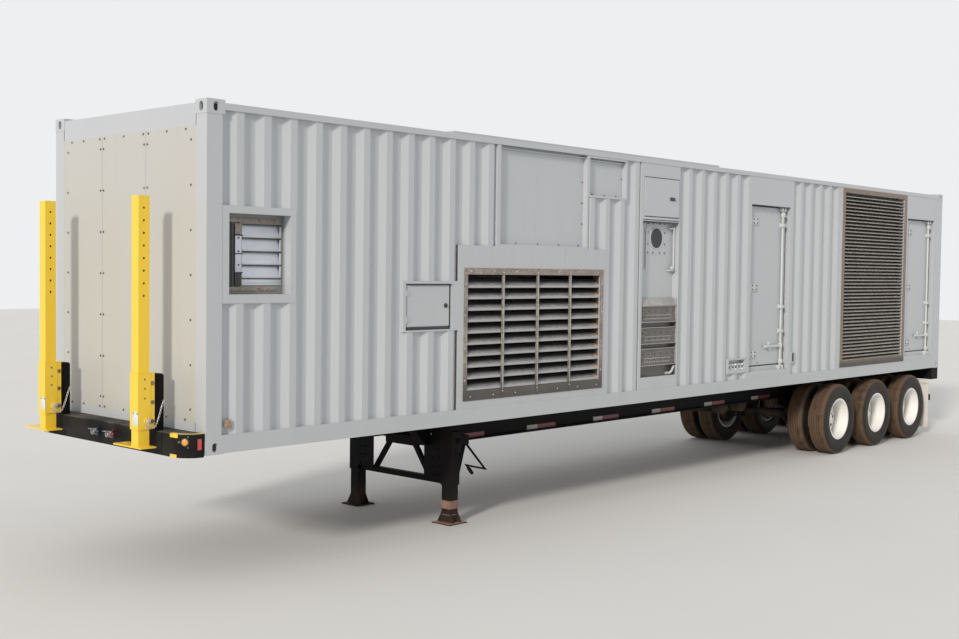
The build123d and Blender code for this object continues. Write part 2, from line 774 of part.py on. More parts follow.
# Gland box and slot box
def gland_box():
    left, right = GLAND_X[0] + GLAND_RIM, GLAND_X[1] - GLAND_RIM
    low, high = GLAND_Z[0] + GLAND_FLOOR, GLAND_Z[1] - GLAND_HEAD
    front = FACE - FLANGE_THICK
    back = WALL_BACK - GLAND_BACK
    box = block(*GLAND_X, front, WALL_BACK, *GLAND_Z)
    box -= block(left, right, front, back, low, high)
    pitch = (right - left) / GLAND_COUNT
    for n in range(GLAND_COUNT):
        x = left + pitch * (n + 0.5)
        box += rod_z(x, (FACE + WALL_BACK) / 2, GLAND_R, low, low + GLAND_LENGTH)
    return box


def slot_box():
    box = block(*SLOT_X, FACE - PLATE, WALL_BACK, *SLOT_Z)
    rim_x, rim_z = SLOT_RIM
    return box - block(SLOT_X[0] + rim_x, SLOT_X[1] - rim_x, FACE - PLATE, FACE + SLOT_DEPTH,
                       SLOT_Z[0] + rim_z, SLOT_Z[1] - rim_z)


# Personnel doors
def door_edges(which):
    start = {"front": FRONT_FRAME_LEFT, "rear": REAR_FRAME_LEFT}[which]
    left = start + HINGE_JAMBS[which]
    right = left + OPENINGS[which]
    return start, left, right, right + LOCK_JAMBS[which]


def door_axis(which):
    return door_edges(which)[1] + HINGE_IN, HINGE_Y


def rod_x(which):
    return door_edges(which)[2] - ROD_INSET


def door_frame(which):
    start, left, right, end = door_edges(which)
    low, high = DOOR_RECESS_Z
    sill = LEAF_BOTTOM - LEAF_GAP / 2
    stop_face = LEAF_FACE + LEAF_THICK + PLATE
    frame = clear_of_castings(block(start, end, FACE, FRAME_BACK, RAIL_TOP, TOP_RAIL_BOTTOM))
    frame -= block(left, right, 0, LEAF_FACE, low, high)
    frame -= block(left, right, 0, stop_face, sill, high)
    frame -= block(left + STOP_WIDTH, right - STOP_WIDTH, 0, FRAME_BACK, sill,
                   high - STOP_WIDTH)
    axis_x, axis_y = door_axis(which)
    half = BARREL_LENGTH / 2
    for z in HINGE_ZS:
        frame += rod_z(axis_x, axis_y, BARREL_R, z - half, z + half)
        frame += block(left, axis_x, axis_y - HINGE_LEAF / 2, axis_y + HINGE_LEAF / 2,
                       z - half, z + half)
    for side in (-1, 1):
        inner = rod_x(which) + side * KEEPER_IN
        outer = inner + side * KEEPER_THICK
        frame += block(min(inner, outer), max(inner, outer), HINGE_Y, LEAF_FACE,
                       high - KEEPER_TOP, high)
        frame += block(min(inner, outer), max(inner, outer), HINGE_Y, LEAF_FACE,
                       low, low + KEEPER_FOOT)
    return frame


def door_leaf(which):
    left, right = door_edges(which)[1:3]
    leaf = block(left + LEAF_GAP, right - LEAF_GAP, LEAF_FACE, LEAF_FACE + LEAF_THICK,
                 LEAF_BOTTOM, LEAF_TOP)
    axis_x, axis_y = door_axis(which)
    start = axis_x + BARREL_R + HINGE_GAP
    for z in HINGE_ZS:
        low, high = z - STRAP_HALF, z + STRAP_HALF
        leaf += block(start, start + HINGE_LEAF, axis_y - FLANGE_THICK, LEAF_FACE, low, high)
        leaf += block(start, left + STRAP_LENGTH, LEAF_FACE - STRAP_THICK, LEAF_FACE, low, high)
    x = rod_x(which)
    for z in GUIDE_ZS:
        reach = GUIDE_HALF + GUIDE_WING
        low, high = z - GUIDE_HALF, z + GUIDE_HALF
        guide = block(x - reach, x + reach, ROD_Y - GUIDE_HALF, LEAF_FACE, low, high)
        leaf += guide - rod_z(x, ROD_Y, ROD_R + ROD_CLEARANCE, low, high)
    hasp_x = x - HANDLE_LENGTH * HASP_SHARE
    return leaf + block(hasp_x - HASP_HALF, hasp_x + HASP_HALF, ROD_Y + PLATE, LEAF_FACE,
                        HANDLE_Z - 2 * HASP_HALF, HANDLE_Z + 2 * HASP_HALF)


def lock_rod(which):
    x = rod_x(which)
    rod = rod_z(x, ROD_Y, ROD_R, *ROD_Z)
    rod += rod_z(x, ROD_Y, ROD_R + FLANGE_THICK, HANDLE_Z - ROD_R * 2, HANDLE_Z + ROD_R * 2)
    rod += block(x - HANDLE_LENGTH, x, ROD_Y - CAM_HALF, ROD_Y - PLATE,
                 HANDLE_Z - HANDLE_HALF, HANDLE_Z + HANDLE_HALF)
    for z in (ROD_Z[0] + CAM_IN, ROD_Z[1] - CAM_IN):
        rod += block(x - CAM_HALF, x + CAM_HALF, ROD_Y - CAM_REACH, ROD_Y,
                     z - CAM_HEIGHT, z + CAM_HEIGHT)
    return rod


# Radiator louvres
def radiator_frame():
    frame = block(*RADIATOR_X, FACE, WALL_BACK, RAIL_TOP, TOP_RAIL_BOTTOM)
    return frame - block(*RADIATOR_HOLE_X, 0, FRAME_BACK, *RADIATOR_HOLE_Z)


def radiator_louvre():
    bottom, top = RADIATOR_HOLE_Z
    flange = block(*RADIATOR_FRAME_X, 0, FACE, RAIL_TOP + RADIATOR_SILL, TOP_RAIL_BOTTOM)
    flange -= block(*RADIATOR_HOLE_X, 0, FACE, bottom, top)
    pitch = (top - bottom - SLAT_END) / SLAT_COUNT
    slats = []
    for n in range(SLAT_COUNT):
        low = bottom + PLATE + n * pitch
        front, back = SLAT_FRONT, SLAT_FRONT + SLAT_DEPTH
        profile = [(front, low), (front + PLATE, low), (back, low + SLAT_RISE),
                   (back, low + SLAT_RISE + PLATE), (front, low + PLATE)]
        slats.append(prism_x(profile, *RADIATOR_HOLE_X))
    return [flange] + slats


# Trailer frame
def beam_outline(inset):
    return [(NECK_FRONT + inset, NECK_BOTTOM + inset),
            (NECK_SLOPE_START + inset / 2, NECK_BOTTOM + inset),
            (NECK_SLOPE_END + inset / 2, BEAM_BOTTOM + inset),
            (BEAM_REAR - inset, BEAM_BOTTOM + inset),
            (BEAM_REAR - inset, FLOOR_BEAM_BOTTOM - inset),
            (NECK_REAR - inset, FLOOR_BEAM_BOTTOM - inset),
            (NECK_REAR - inset, NECK_TOP - inset),
            (NECK_FRONT + inset, NECK_TOP - inset)]


def main_beam():
    half = BEAM_FLANGE / 2
    body = prism_y(beam_outline(0), BEAM_Y - half, BEAM_Y + half)
    hollow = prism_y(beam_outline(BEAM_PLATE), BEAM_Y - half, BEAM_Y - BEAM_WEB / 2)
    body -= hollow
    body -= Pos(0, half + BEAM_WEB / 2, 0) * hollow
    return body


def neck_member(x):
    inner = BEAM_Y + BEAM_FLANGE / 2
    return block(x, x + MEMBER_WIDTH, inner, WIDTH - inner, NECK_BOTTOM, NECK_MEMBER_TOP)


def cross_members():
    web = BEAM_Y + BEAM_WEB / 2
    pitch = (BEAM_REAR - MEMBER_LAST_IN - MEMBER_FIRST) / (MEMBER_COUNT - 1)
    members = []
    for n in range(MEMBER_COUNT):
        x = MEMBER_FIRST + n * pitch
        members.append(block(x, x + MEMBER_WIDTH, web, WIDTH - web, *MEMBER_Z))
    neck = coupler()
    for offset in NECK_MEMBERS:
        neck += neck_member(KINGPIN_X + offset)
    return members + [neck, neck_member(NECK_LAST_MEMBER)]


def coupler():
    outer = BEAM_Y - BEAM_FLANGE / 2
    plate = block(KINGPIN_X - COUPLER_HALF, KINGPIN_X + COUPLER_HALF, outer, WIDTH - outer,
                  NECK_BOTTOM - COUPLER_PLATE, NECK_BOTTOM)
    return plate + kingpin()


def kingpin():
    top = NECK_BOTTOM - COUPLER_PLATE
    groove_top = top - KINGPIN_SHANK
    collar_top = groove_top - KINGPIN_GROOVE
    foot = collar_top - KINGPIN_COLLAR
    profile = [(0, top), (KINGPIN_SHANK_R, top), (KINGPIN_SHANK_R, groove_top),
               (KINGPIN_GROOVE_R, groove_top), (KINGPIN_GROOVE_R, collar_top),
               (KINGPIN_COLLAR_R, collar_top), (KINGPIN_COLLAR_R, foot), (0, foot)]
    pin = revolve(Plane.XZ * Polygon(*profile, align=None), Axis.Z)
    return Pos(KINGPIN_X, WIDTH / 2, 0) * pin


def front_bolster():
    beam = block(BOLSTER_FRONT, NECK_FRONT, BOLSTER_END, WIDTH - BOLSTER_END, *BOLSTER_Z)
    edges = beam.edges().filter_by(Axis.Z).group_by(Axis.X)[0]
    return fillet(edges, BOLSTER_END_R)


def rear_bolster():
    beam = block(BEAM_REAR, LENGTH, BOLSTER_END, WIDTH - BOLSTER_END, REAR_BOLSTER_BOTTOM, 0)
    return beam + rear_guard()


def rear_guard():
    low, high = GUARD_Z
    back = LENGTH - GUARD_IN
    depth, width = GUARD_POST
    bar = block(back - GUARD_DEPTH, back, GUARD_END, WIDTH - GUARD_END, low, high)
    for post in both_sides(block(back - GUARD_IN - depth, back - GUARD_IN, GUARD_POST_Y,
                                 GUARD_POST_Y + width, high, REAR_BOLSTER_BOTTOM)):
        bar += post
    return bar


def mud_flap():
    front = BEAM_REAR - FLAP_IN
    return block(front, front + FLAP_THICK, 0, FLAP_WIDTH, *FLAP_Z)


def flap_bar():
    front = BEAM_REAR - FLAP_IN
    return block(front - FLAP_BAR, front, 0, BEAM_Y - BEAM_WEB / 2, *FLAP_BAR_Z)


# Landing gear
def gear_tube():
    half = GEAR_TUBE / 2
    inner = half - GEAR_WALL
    front, back = GEAR_X - half, GEAR_X + half
    beam_face = BEAM_Y - BEAM_FLANGE / 2
    tube = block(front, back, GEAR_Y - half, GEAR_Y + half, GEAR_BOTTOM, GEAR_TOP)
    tube -= block(GEAR_X - inner, GEAR_X + inner, GEAR_Y - inner, GEAR_Y + inner,
                  GEAR_BOTTOM, GEAR_TOP - GEAR_WALL)
    bracket = block(front, front + GEAR_BRACKET, GEAR_Y + half, GEAR_BRACKET_IN,
                    GEAR_BRACKET_BOTTOM, BEAM_BOTTOM)
    side = block(front, back, GEAR_Y + half, beam_face, BEAM_BOTTOM, GEAR_SIDE_TOP)
    arm = block(back, back + GEAR_ARM, GEAR_Y - GEAR_ARM_HALF, beam_face,
                GEAR_ARM_BOTTOM, GEAR_ARM_BOTTOM + GEAR_ARM_HEIGHT)
    return tube + bracket + side + arm


def landing_bracing():
    half = GEAR_TUBE / 2
    x = GEAR_X
    middle = WIDTH / 2
    low, high = BRACE_BAR_Z
    bracing = block(x - BRACE_BAR / 2, x + BRACE_BAR / 2, GEAR_Y + half, WIDTH - GEAR_Y - half,
                    low, high)
    for side in (-1, 1):
        foot = (x, middle + side * BRACE_FEET, high - BRACE_BAR / 3)
        head = (x, middle + side * BRACE_HEADS, BEAM_BOTTOM - BRACE_BAR / 3)
        bracing += bar_between(foot, head, BRACE_SIZE, BRACE_SIZE)
    width, depth, height = BRACE_PLATE
    bottom = BEAM_BOTTOM - BRACE_PLATE_LOW
    bracing += block(x - depth / 2, x + depth / 2, middle - width / 2, middle + width / 2,
                     bottom, bottom + height)
    inner = BEAM_Y + BEAM_FLANGE / 2
    return bracing + block(x - depth / 2, x + depth / 2, inner, WIDTH - inner,
                           BEAM_BOTTOM + BRACE_TIE_LOW, bottom + height)


def back_strut():
    back = GEAR_X + GEAR_TUBE / 2
    low, high, wide = STRUT_FOOT
    near, far = STRUT_HEAD
    profile = [(back, GEAR_BOTTOM + low), (back + wide, GEAR_BOTTOM + low),
               (back + far, GEAR_ARM_BOTTOM), (back + near, GEAR_ARM_BOTTOM),
               (back, GEAR_BOTTOM + high)]
    return prism_y(profile, GEAR_Y - STRUT_HALF, GEAR_Y + STRUT_HALF)


def landing_leg():
    half = GEAR_TUBE / 2 - GEAR_WALL - GEAR_GAP
    sole_top = -GROUND + FOOT_PLATE
    leg = block(GEAR_X - half, GEAR_X + half, GEAR_Y - half, GEAR_Y + half, sole_top, LEG_TOP)
    sole = block(GEAR_X - FOOT / 2, GEAR_X + FOOT / 2, GEAR_Y - FOOT / 2, GEAR_Y + FOOT / 2,
                 -GROUND, sole_top)
    reach = FOOT / 2 - GUSSET
    gusset = [(GEAR_Y - reach, sole_top), (GEAR_Y + reach, sole_top),
              (GEAR_Y + half, -GROUND + GUSSET_TOP), (GEAR_Y - half, -GROUND + GUSSET_TOP)]
    for x in (GEAR_X - half, GEAR_X + half - GUSSET):
        leg += prism_x(gusset, x, x + GUSSET)
    return leg + sole


# Drop legs
def drop_axis_x():
    return DROP_FRONT + DROP_TUBE / 2


def sleeve_half():
    return DROP_TUBE / 2 + SLEEVE_GAP + SLEEVE_WALL


def front_pair(shape):
    return [shape, Pos(0, WIDTH - 2 * DROP_Y, 0) * shape]


def drop_leg():
    half = DROP_TUBE / 2
    inner = half - DROP_WALL
    x, y = drop_axis_x(), DROP_Y
    foot_top = DROP_FOOT_Z + FOOT_PLATE
    tube = block(x - half, x + half, y - half, y + half, foot_top, DROP_TOP)
    tube -= block(x - inner, x + inner, y - inner, y + inner, foot_top, DROP_TOP)
    for n in range(DROP_HOLES):
        z = DROP_HOLE_LOW + n * DROP_HOLE_PITCH
        tube -= rod_y(x, z, DROP_HOLE_R, y - DROP_TUBE, y + DROP_TUBE)
    sole = block(*DROP_FOOT_X, y - DROP_FOOT_NEAR, y + DROP_FOOT_FAR, DROP_FOOT_Z, foot_top)
    slot = Pos(x, y + DROP_FOOT_FAR - DROP_SLOT_IN, DROP_FOOT_Z)
    sole -= extrude(slot * SlotOverall(*DROP_SLOT, rotation=90), FOOT_PLATE)
    return tube + sole


def leg_sleeve():
    hole = DROP_TUBE / 2 + SLEEVE_GAP
    half = sleeve_half()
    x, y = drop_axis_x(), DROP_Y
    sleeve = block(x - half, x + half, y - half, y + half, *SLEEVE_Z)
    sleeve -= block(x - hole, x + hole, y - hole, y + hole, *SLEEVE_Z)
    outer = COLUMN_Y / 2 + EAR_THICK
    for near, far in ((y - outer, y - COLUMN_Y / 2), (y + COLUMN_Y / 2, y + outer)):
        sleeve += block(x + half, x + half + SLEEVE_EAR, near, far, *SLEEVE_Z)
    return sleeve


def leg_column():
    front = drop_axis_x() + sleeve_half()
    profile = [(front, SLEEVE_Z[0]), (BOLSTER_FRONT, BOLSTER_Z[1]), (COLUMN_REAR, BOLSTER_Z[1]),
               (COLUMN_REAR, COLUMN_TOP - COLUMN_CHAMFER),
               (COLUMN_REAR - COLUMN_CHAMFER, COLUMN_TOP), (front, COLUMN_TOP)]
    return prism_y(profile, DROP_Y - COLUMN_Y / 2, DROP_Y + COLUMN_Y / 2)


# Running gear
def wheel_z():
    return -GROUND + TYRE_R


def axle(x):
    z = wheel_z()
    tube = rod_y(x, z, AXLE_R, AXLE_END + BEAM_PLATE, WIDTH - AXLE_END - BEAM_PLATE)
    tube += rod_y(x, z, AXLE_R - BEAM_PLATE, AXLE_END, WIDTH - AXLE_END)
    half = BEAM_FLANGE / 2
    for seat in both_sides(block(x - SEAT_HALF, x + SEAT_HALF, BEAM_Y - half, BEAM_Y + half,
                                 z - SEAT_LOW, spring_seat())):
        tube += seat
    return tube


def spring_seat():
    return wheel_z() + SPRING_SEAT


def spring(x):
    z = spring_seat()
    reach = AXLE_SPACING / 2 - SPRING_SHORT
    tip = z + SPRING_RISE
    low = ThreePointArc((x - reach, tip), (x, z), (x + reach, tip))
    high = ThreePointArc((x + reach, tip + SPRING_THICK / 2), (x, z + SPRING_THICK),
                         (x - reach, tip + SPRING_THICK / 2))
    outline = make_face([low, Line(low @ 1, high @ 0), high, Line(high @ 1, low @ 0)])
    side = Plane.XZ.offset(-(BEAM_Y + SPRING_HALF))
    return extrude(side * outline, 2 * SPRING_HALF, dir=(0, -1, 0))


def hanger(x):
    foot = spring_seat() + HANGER_OVER
    profile = [(x - HANGER_TOP, BEAM_BOTTOM), (x + HANGER_TOP, BEAM_BOTTOM),
               (x + HANGER_FOOT, foot), (x - HANGER_FOOT, foot)]
    return prism_y(profile, BEAM_Y - BEAM_FLANGE / 2, BEAM_Y + BEAM_FLANGE / 2)


def suspension():
    parts = spring(AXLES_X[0])
    for x in AXLES_X[1:]:
        parts += spring(x)
    for x in [AXLES_X[0] - AXLE_SPACING / 2] + [x + AXLE_SPACING / 2 for x in AXLES_X]:
        parts += hanger(x)
    return parts


# Wheels
def tyre(y_outer):
    r, w = TYRE_R, TYRE_WIDTH
    lip = [(RIM_R, RIM_EDGE), (RIM_FLANGE_R, RIM_EDGE), (RIM_FLANGE_R, BEAD), (r - FLANK, 0),
           (r - SHOULDER[0], SHOULDER[1]), (r - CREST[0], CREST[1]), (r, CROWN)]
    pitch = (w - 2 * CROWN) / (GROOVES + 1)
    tread = []
    for n in range(1, GROOVES + 1):
        low, high = CROWN + n * pitch - GROOVE_WIDTH / 2, CROWN + n * pitch + GROOVE_WIDTH / 2
        tread += [(r, low), (r - GROOVE_DEPTH, low), (r - GROOVE_DEPTH, high), (r, high)]
    points = lip + tread + [(radius, w - y) for radius, y in reversed(lip)]
    return Pos(0, y_outer, 0) * revolve(Polygon(*points, align=None), Axis.Y)


def rim(disc_y):
    w = TYRE_WIDTH
    well = RIM_R - RIM_WALL
    points = [(well, RIM_LIP), (RIM_FLANGE_R, RIM_LIP), (RIM_FLANGE_R, RIM_EDGE),
              (RIM_R, RIM_EDGE), (RIM_R, w - RIM_EDGE), (RIM_FLANGE_R, w - RIM_EDGE),
              (RIM_FLANGE_R, w - RIM_LIP), (well, w - RIM_LIP), (well, disc_y + RIM_WALL),
              (HUB_R, disc_y + RIM_WALL), (HUB_R, disc_y), (well, disc_y)]
    return revolve(Polygon(*points, align=None), Axis.Y)


def hub(disc_y):
    start = disc_y - HUB_OUT
    body = rod_y(0, 0, HUB_R, start, start + HUB_LENGTH)
    cap = AXLE_END + TYRE_OUT - HINGE_LEAF
    return body - rod_y(0, 0, AXLE_R + ROD_CLEARANCE, cap, start + HUB_LENGTH)


def wheel_pair(x):
    centre = Pos(x, -TYRE_OUT, wheel_z())
    tyres = [centre * tyre(0), centre * tyre(DUAL_SPACING)]
    disc_y = TYRE_WIDTH - DISC_IN
    rims = rim(disc_y) + Pos(0, DUAL_SPACING, 0) * rim(RIM_EDGE) + hub(disc_y)
    return tyres, [centre * rims]


def save(name, shapes):
    moved = [Pos(*TO_ROW) * shape for shape in shapes]
    export_step(Compound(moved), f"parts/{name}.step")


# The row's origin lies on the ground, under the middle of the whole object.
REAR_END = LENGTH + LEDGE_OUT - END_FACE
TO_ROW = (-(DROP_FOOT_X[0] + REAR_END) / 2, -WIDTH / 2, GROUND)

NODES = {
    "corner_posts": four_corners(corner_post()),
    "corner_castings": four_corners(corner_casting()) + four_corners(top_casting()),
    "side_rails": both_sides(bottom_rail()) + both_sides(top_rail()),
    "end_frames": end_frame() + [to_rear_end(shape) for shape in end_frame()],
    "front_wall": [end_wall()],
    "rear_wall": [to_rear_end(end_wall())],
    "floor": [floor()],
    "roof": [roof()],
    "roof_cover": [roof_cover()],
    "near_wall": near_wall(),
    "far_wall": far_wall(),
    "shutter_frame": [shutter_frame()],
    "shutter_blades": shutter_blades(),
    "junction_box": [junction_box()],
    "junction_door": [junction_door()],
    "intake_surround": [intake_surround()],
    "intake_frame": [intake_frame()],
    "intake_blades": intake_blades(),
    "blank_panels": [blank_panels()],
    "connection_housing": [connection_housing()],
    "control_door": [control_door()],
    "port_cover": [port_cover()],
    "cable_boxes": cable_boxes() + [shelf()],
    "service_boxes": [gland_box(), slot_box()],
    "door_frames": [door_frame("front"), door_frame("rear")],
    "front_door": [door_leaf("front")],
    "rear_door": [door_leaf("rear")],
    "front_lock_rod": [lock_rod("front")],
    "rear_lock_rod": [lock_rod("rear")],
    "radiator_frames": both_sides(radiator_frame()),
    "near_radiator_louvre": radiator_louvre(),
    "far_radiator_louvre": [to_far_side(shape) for shape in radiator_louvre()],
    "main_beams": both_sides(main_beam()),
    "trailer_cross_members": cross_members(),
    "front_bolster": [front_bolster()],
    "rear_bolster": [rear_bolster()],
    "mud_flaps": both_sides(mud_flap()) + both_sides(flap_bar()),
    "landing_gear_tubes": both_sides(gear_tube()),
    "landing_bracing": [landing_bracing()] + both_sides(back_strut()),
    "near_landing_leg": [landing_leg()],
    "far_landing_leg": [to_far_side(landing_leg())],
    "leg_sleeves": front_pair(leg_sleeve()),
    "leg_columns": front_pair(leg_column()),
    "near_drop_leg": [front_pair(drop_leg())[0]],
    "far_drop_leg": [front_pair(drop_leg())[1]],
    "axles": [axle(x) for x in AXLES_X],
    "suspension": both_sides(suspension()),
}

for number, axle_x in enumerate(AXLES_X, start=1):
    tyres, rims = wheel_pair(axle_x)
    NODES[f"near_tyres_{number}"] = tyres
    NODES[f"near_rims_{number}"] = rims
    NODES[f"far_tyres_{number}"] = [to_far_side(tyre_shape) for tyre_shape in tyres]
    NODES[f"far_rims_{number}"] = [to_far_side(rim_shape) for rim_shape in rims]

for node, shapes in NODES.items():
    save(node, shapes)
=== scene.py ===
import json
import math
from itertools import product

import bmesh
import bpy
from bpy.props import FloatProperty, FloatVectorProperty, IntProperty, PointerProperty
from mathutils import Matrix, Vector


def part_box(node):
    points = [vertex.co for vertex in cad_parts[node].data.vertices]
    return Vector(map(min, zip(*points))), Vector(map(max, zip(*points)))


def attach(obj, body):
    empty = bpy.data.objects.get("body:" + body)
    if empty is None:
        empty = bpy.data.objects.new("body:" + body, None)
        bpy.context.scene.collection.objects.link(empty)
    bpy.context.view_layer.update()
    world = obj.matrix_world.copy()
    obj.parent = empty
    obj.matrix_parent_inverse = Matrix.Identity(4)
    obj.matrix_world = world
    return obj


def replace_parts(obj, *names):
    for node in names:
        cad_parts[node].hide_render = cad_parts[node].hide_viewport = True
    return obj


bl_info = {
    "name": "Containerised generator set",
    "version": (1, 0, 0),
    "blender": (4, 5, 0),
    "location": "View3D > Sidebar > Generator set",
    "description": "Dresses a trailer-mounted generator set in paint, fittings and running gear",
    "category": "Object",
}

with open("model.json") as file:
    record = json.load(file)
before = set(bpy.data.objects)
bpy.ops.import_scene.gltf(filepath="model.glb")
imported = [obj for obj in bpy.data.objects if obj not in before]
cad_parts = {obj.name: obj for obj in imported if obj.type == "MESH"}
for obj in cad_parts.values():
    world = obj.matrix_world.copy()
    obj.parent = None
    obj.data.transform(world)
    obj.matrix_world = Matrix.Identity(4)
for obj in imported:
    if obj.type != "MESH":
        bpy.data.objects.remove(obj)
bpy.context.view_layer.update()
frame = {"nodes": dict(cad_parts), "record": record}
CORNER, FAR_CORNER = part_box("corner_castings")
WIDTH = FAR_CORNER.y - CORNER.y
LENGTH = FAR_CORNER.x - CORNER.x
HEIGHT = FAR_CORNER.z - CORNER.z
ROOT = "plant"
SIDES = ("near", "far")
FACE_TOWARDS = {"near": Vector((0, -1, 0)), "far": Vector((0, 1, 0))}
FORWARD = Vector((-1, 0, 0))
REARWARD = Vector((1, 0, 0))
OUTWARD = FACE_TOWARDS["near"]
UP = Vector((0, 0, 1))
CAMERA_PLACE = Vector((-12.898, -9.584, 2.638))
CAMERA_TURN = (42.83, -2.301, -0.721)
KEY_FROM = (-0.87, -0.30, 0.39)
KEY_SPREAD = 7.0
KEY_COLOUR = (1.0, 0.93, 0.85)
SKY_COLOUR = (0.975, 0.987, 1.0, 1)
BACKDROP_COLOUR = (0.93, 0.94, 0.95, 1)
BACKDROP_LEVEL = 0.92
FLOOR_HALF = 60
FLOOR_DROP = 0.002
AXLES_X = (11.060, 12.305, 13.550)
ROD_STEPS = 14
CORNER_STEPS = 4


def at(x, y, z):
    """A point given from the container's near front lower corner, in the row frame."""
    return CORNER + Vector((x, y, z))


def across(point, side):
    """The same point, or its mirror image on the far side."""
    if side == "near":
        return Vector(point)
    return Vector((point[0], CORNER.y + FAR_CORNER.y - point[1], point[2]))


# Sizes and colours that a user may change
class GeneratorPaint(bpy.types.PropertyGroup):
    enclosure: FloatVectorProperty(
        name="Enclosure grey", description="Paint of the container sides, doors and roof",
        subtype="COLOR", size=3, min=0, max=1, default=(0.492, 0.517, 0.538))
    end_wall: FloatVectorProperty(
        name="End wall grey", description="Paint of the bolted end walls",
        subtype="COLOR", size=3, min=0, max=1, default=(0.50, 0.495, 0.465))
    chassis: FloatVectorProperty(
        name="Chassis black", description="Paint of the trailer frame",
        subtype="COLOR", size=3, min=0, max=1, default=(0.008, 0.008, 0.009))
    legs: FloatVectorProperty(
        name="Leg yellow", description="Paint of the two drop legs",
        subtype="COLOR", size=3, min=0, max=1, default=(0.92, 0.62, 0.03))
    rims: FloatVectorProperty(
        name="Rim white", description="Paint of the wheel rims",
        subtype="COLOR", size=3, min=0, max=1, default=(0.88, 0.87, 0.83))
    dust: FloatVectorProperty(
        name="Road dust", description="Dust on the tyres, trailer and louvres",
        subtype="COLOR", size=3, min=0, max=1, default=(0.22, 0.145, 0.095))


class GeneratorSizes(bpy.types.PropertyGroup):
    bolt: FloatProperty(
        name="Wall bolt", description="Radius of an end wall bolt head",
        unit="LENGTH", min=0.002, max=0.03, default=0.0085)
    screw: FloatProperty(
        name="Flange screw", description="Radius of a louvre or panel screw head",
        unit="LENGTH", min=0.002, max=0.02, default=0.008)
    wheel_nut: FloatProperty(
        name="Wheel nut", description="Radius of a wheel nut",
        unit="LENGTH", min=0.005, max=0.04, default=0.019)
    hand_holes: IntProperty(
        name="Hand holes", description="Round holes in each wheel disc",
        min=4, max=12, default=10)
    tape_pitch: FloatProperty(
        name="Tape pitch", description="Distance between strips of reflective tape",
        unit="LENGTH", min=0.5, max=3.0, default=1.242)


class GeneratorStage(bpy.types.PropertyGroup):
    lens: FloatProperty(
        name="Lens", description="Focal length of the camera",
        unit="CAMERA", min=10, max=200, default=46.11)
    sky: FloatProperty(
        name="Sky level", description="Strength of the even light from all round",
        min=0, max=2, default=0.66)
    key: FloatProperty(
        name="Key level", description="Strength of the soft light from the front end",
        min=0, max=5, default=2.15)


# Shader nodes
def feed(tree, node, inputs):
    """Links a socket to an input, or sets the input's own value."""
    for key, value in inputs.items():
        if isinstance(value, bpy.types.NodeSocket):
            tree.links.new(value, node.inputs[key])
        elif value is not None:
            node.inputs[key].default_value = value
    return node


def add_node(tree, kind, inputs=None, **settings):
    node = tree.nodes.new(kind)
    for key, value in settings.items():
        setattr(node, key, value)
    return feed(tree, node, inputs or {})


def shader_group(name, inputs, outputs):
    tree = bpy.data.node_groups.new(name, "ShaderNodeTree")
    for label, kind, default in inputs:
        socket = tree.interface.new_socket(label, in_out="INPUT", socket_type="NodeSocket" + kind)
        socket.default_value = default
    for label, kind in outputs:
        tree.interface.new_socket(label, in_out="OUTPUT", socket_type="NodeSocket" + kind)
    return tree, tree.nodes.new("NodeGroupInput").outputs, tree.nodes.new("NodeGroupOutput")


def math_node(tree, operation, first, second=None):
    return add_node(tree, "ShaderNodeMath", {0: first, 1: second}, operation=operation,
                    use_clamp=operation == "ADD").outputs[0]


def mixed(tree, factor, first, second, blend="MIX"):
    node = add_node(tree, "ShaderNodeMix", data_type="RGBA", blend_type=blend)
    return feed(tree, node, {0: factor, 6: first, 7: second}).outputs[2]


def noise(tree, scale, detail=3.0, stretch=(1, 1, 1)):
    place = add_node(tree, "ShaderNodeTexCoord").outputs["Object"]
    spread = add_node(tree, "ShaderNodeMapping", {"Vector": place, "Scale": stretch})
    node = add_node(tree, "ShaderNodeTexNoise", {"Vector": spread.outputs[0], "Detail": detail,
                                                 "Roughness": 0.55, "Scale": scale})
    return node.outputs[0]


def ramp(tree, value, low, high, to_low=0.0, to_high=1.0):
    levels = dict(enumerate((value, low, high, to_low, to_high)))
    return add_node(tree, "ShaderNodeMapRange", levels,
                    interpolation_type="SMOOTHSTEP").outputs[0]


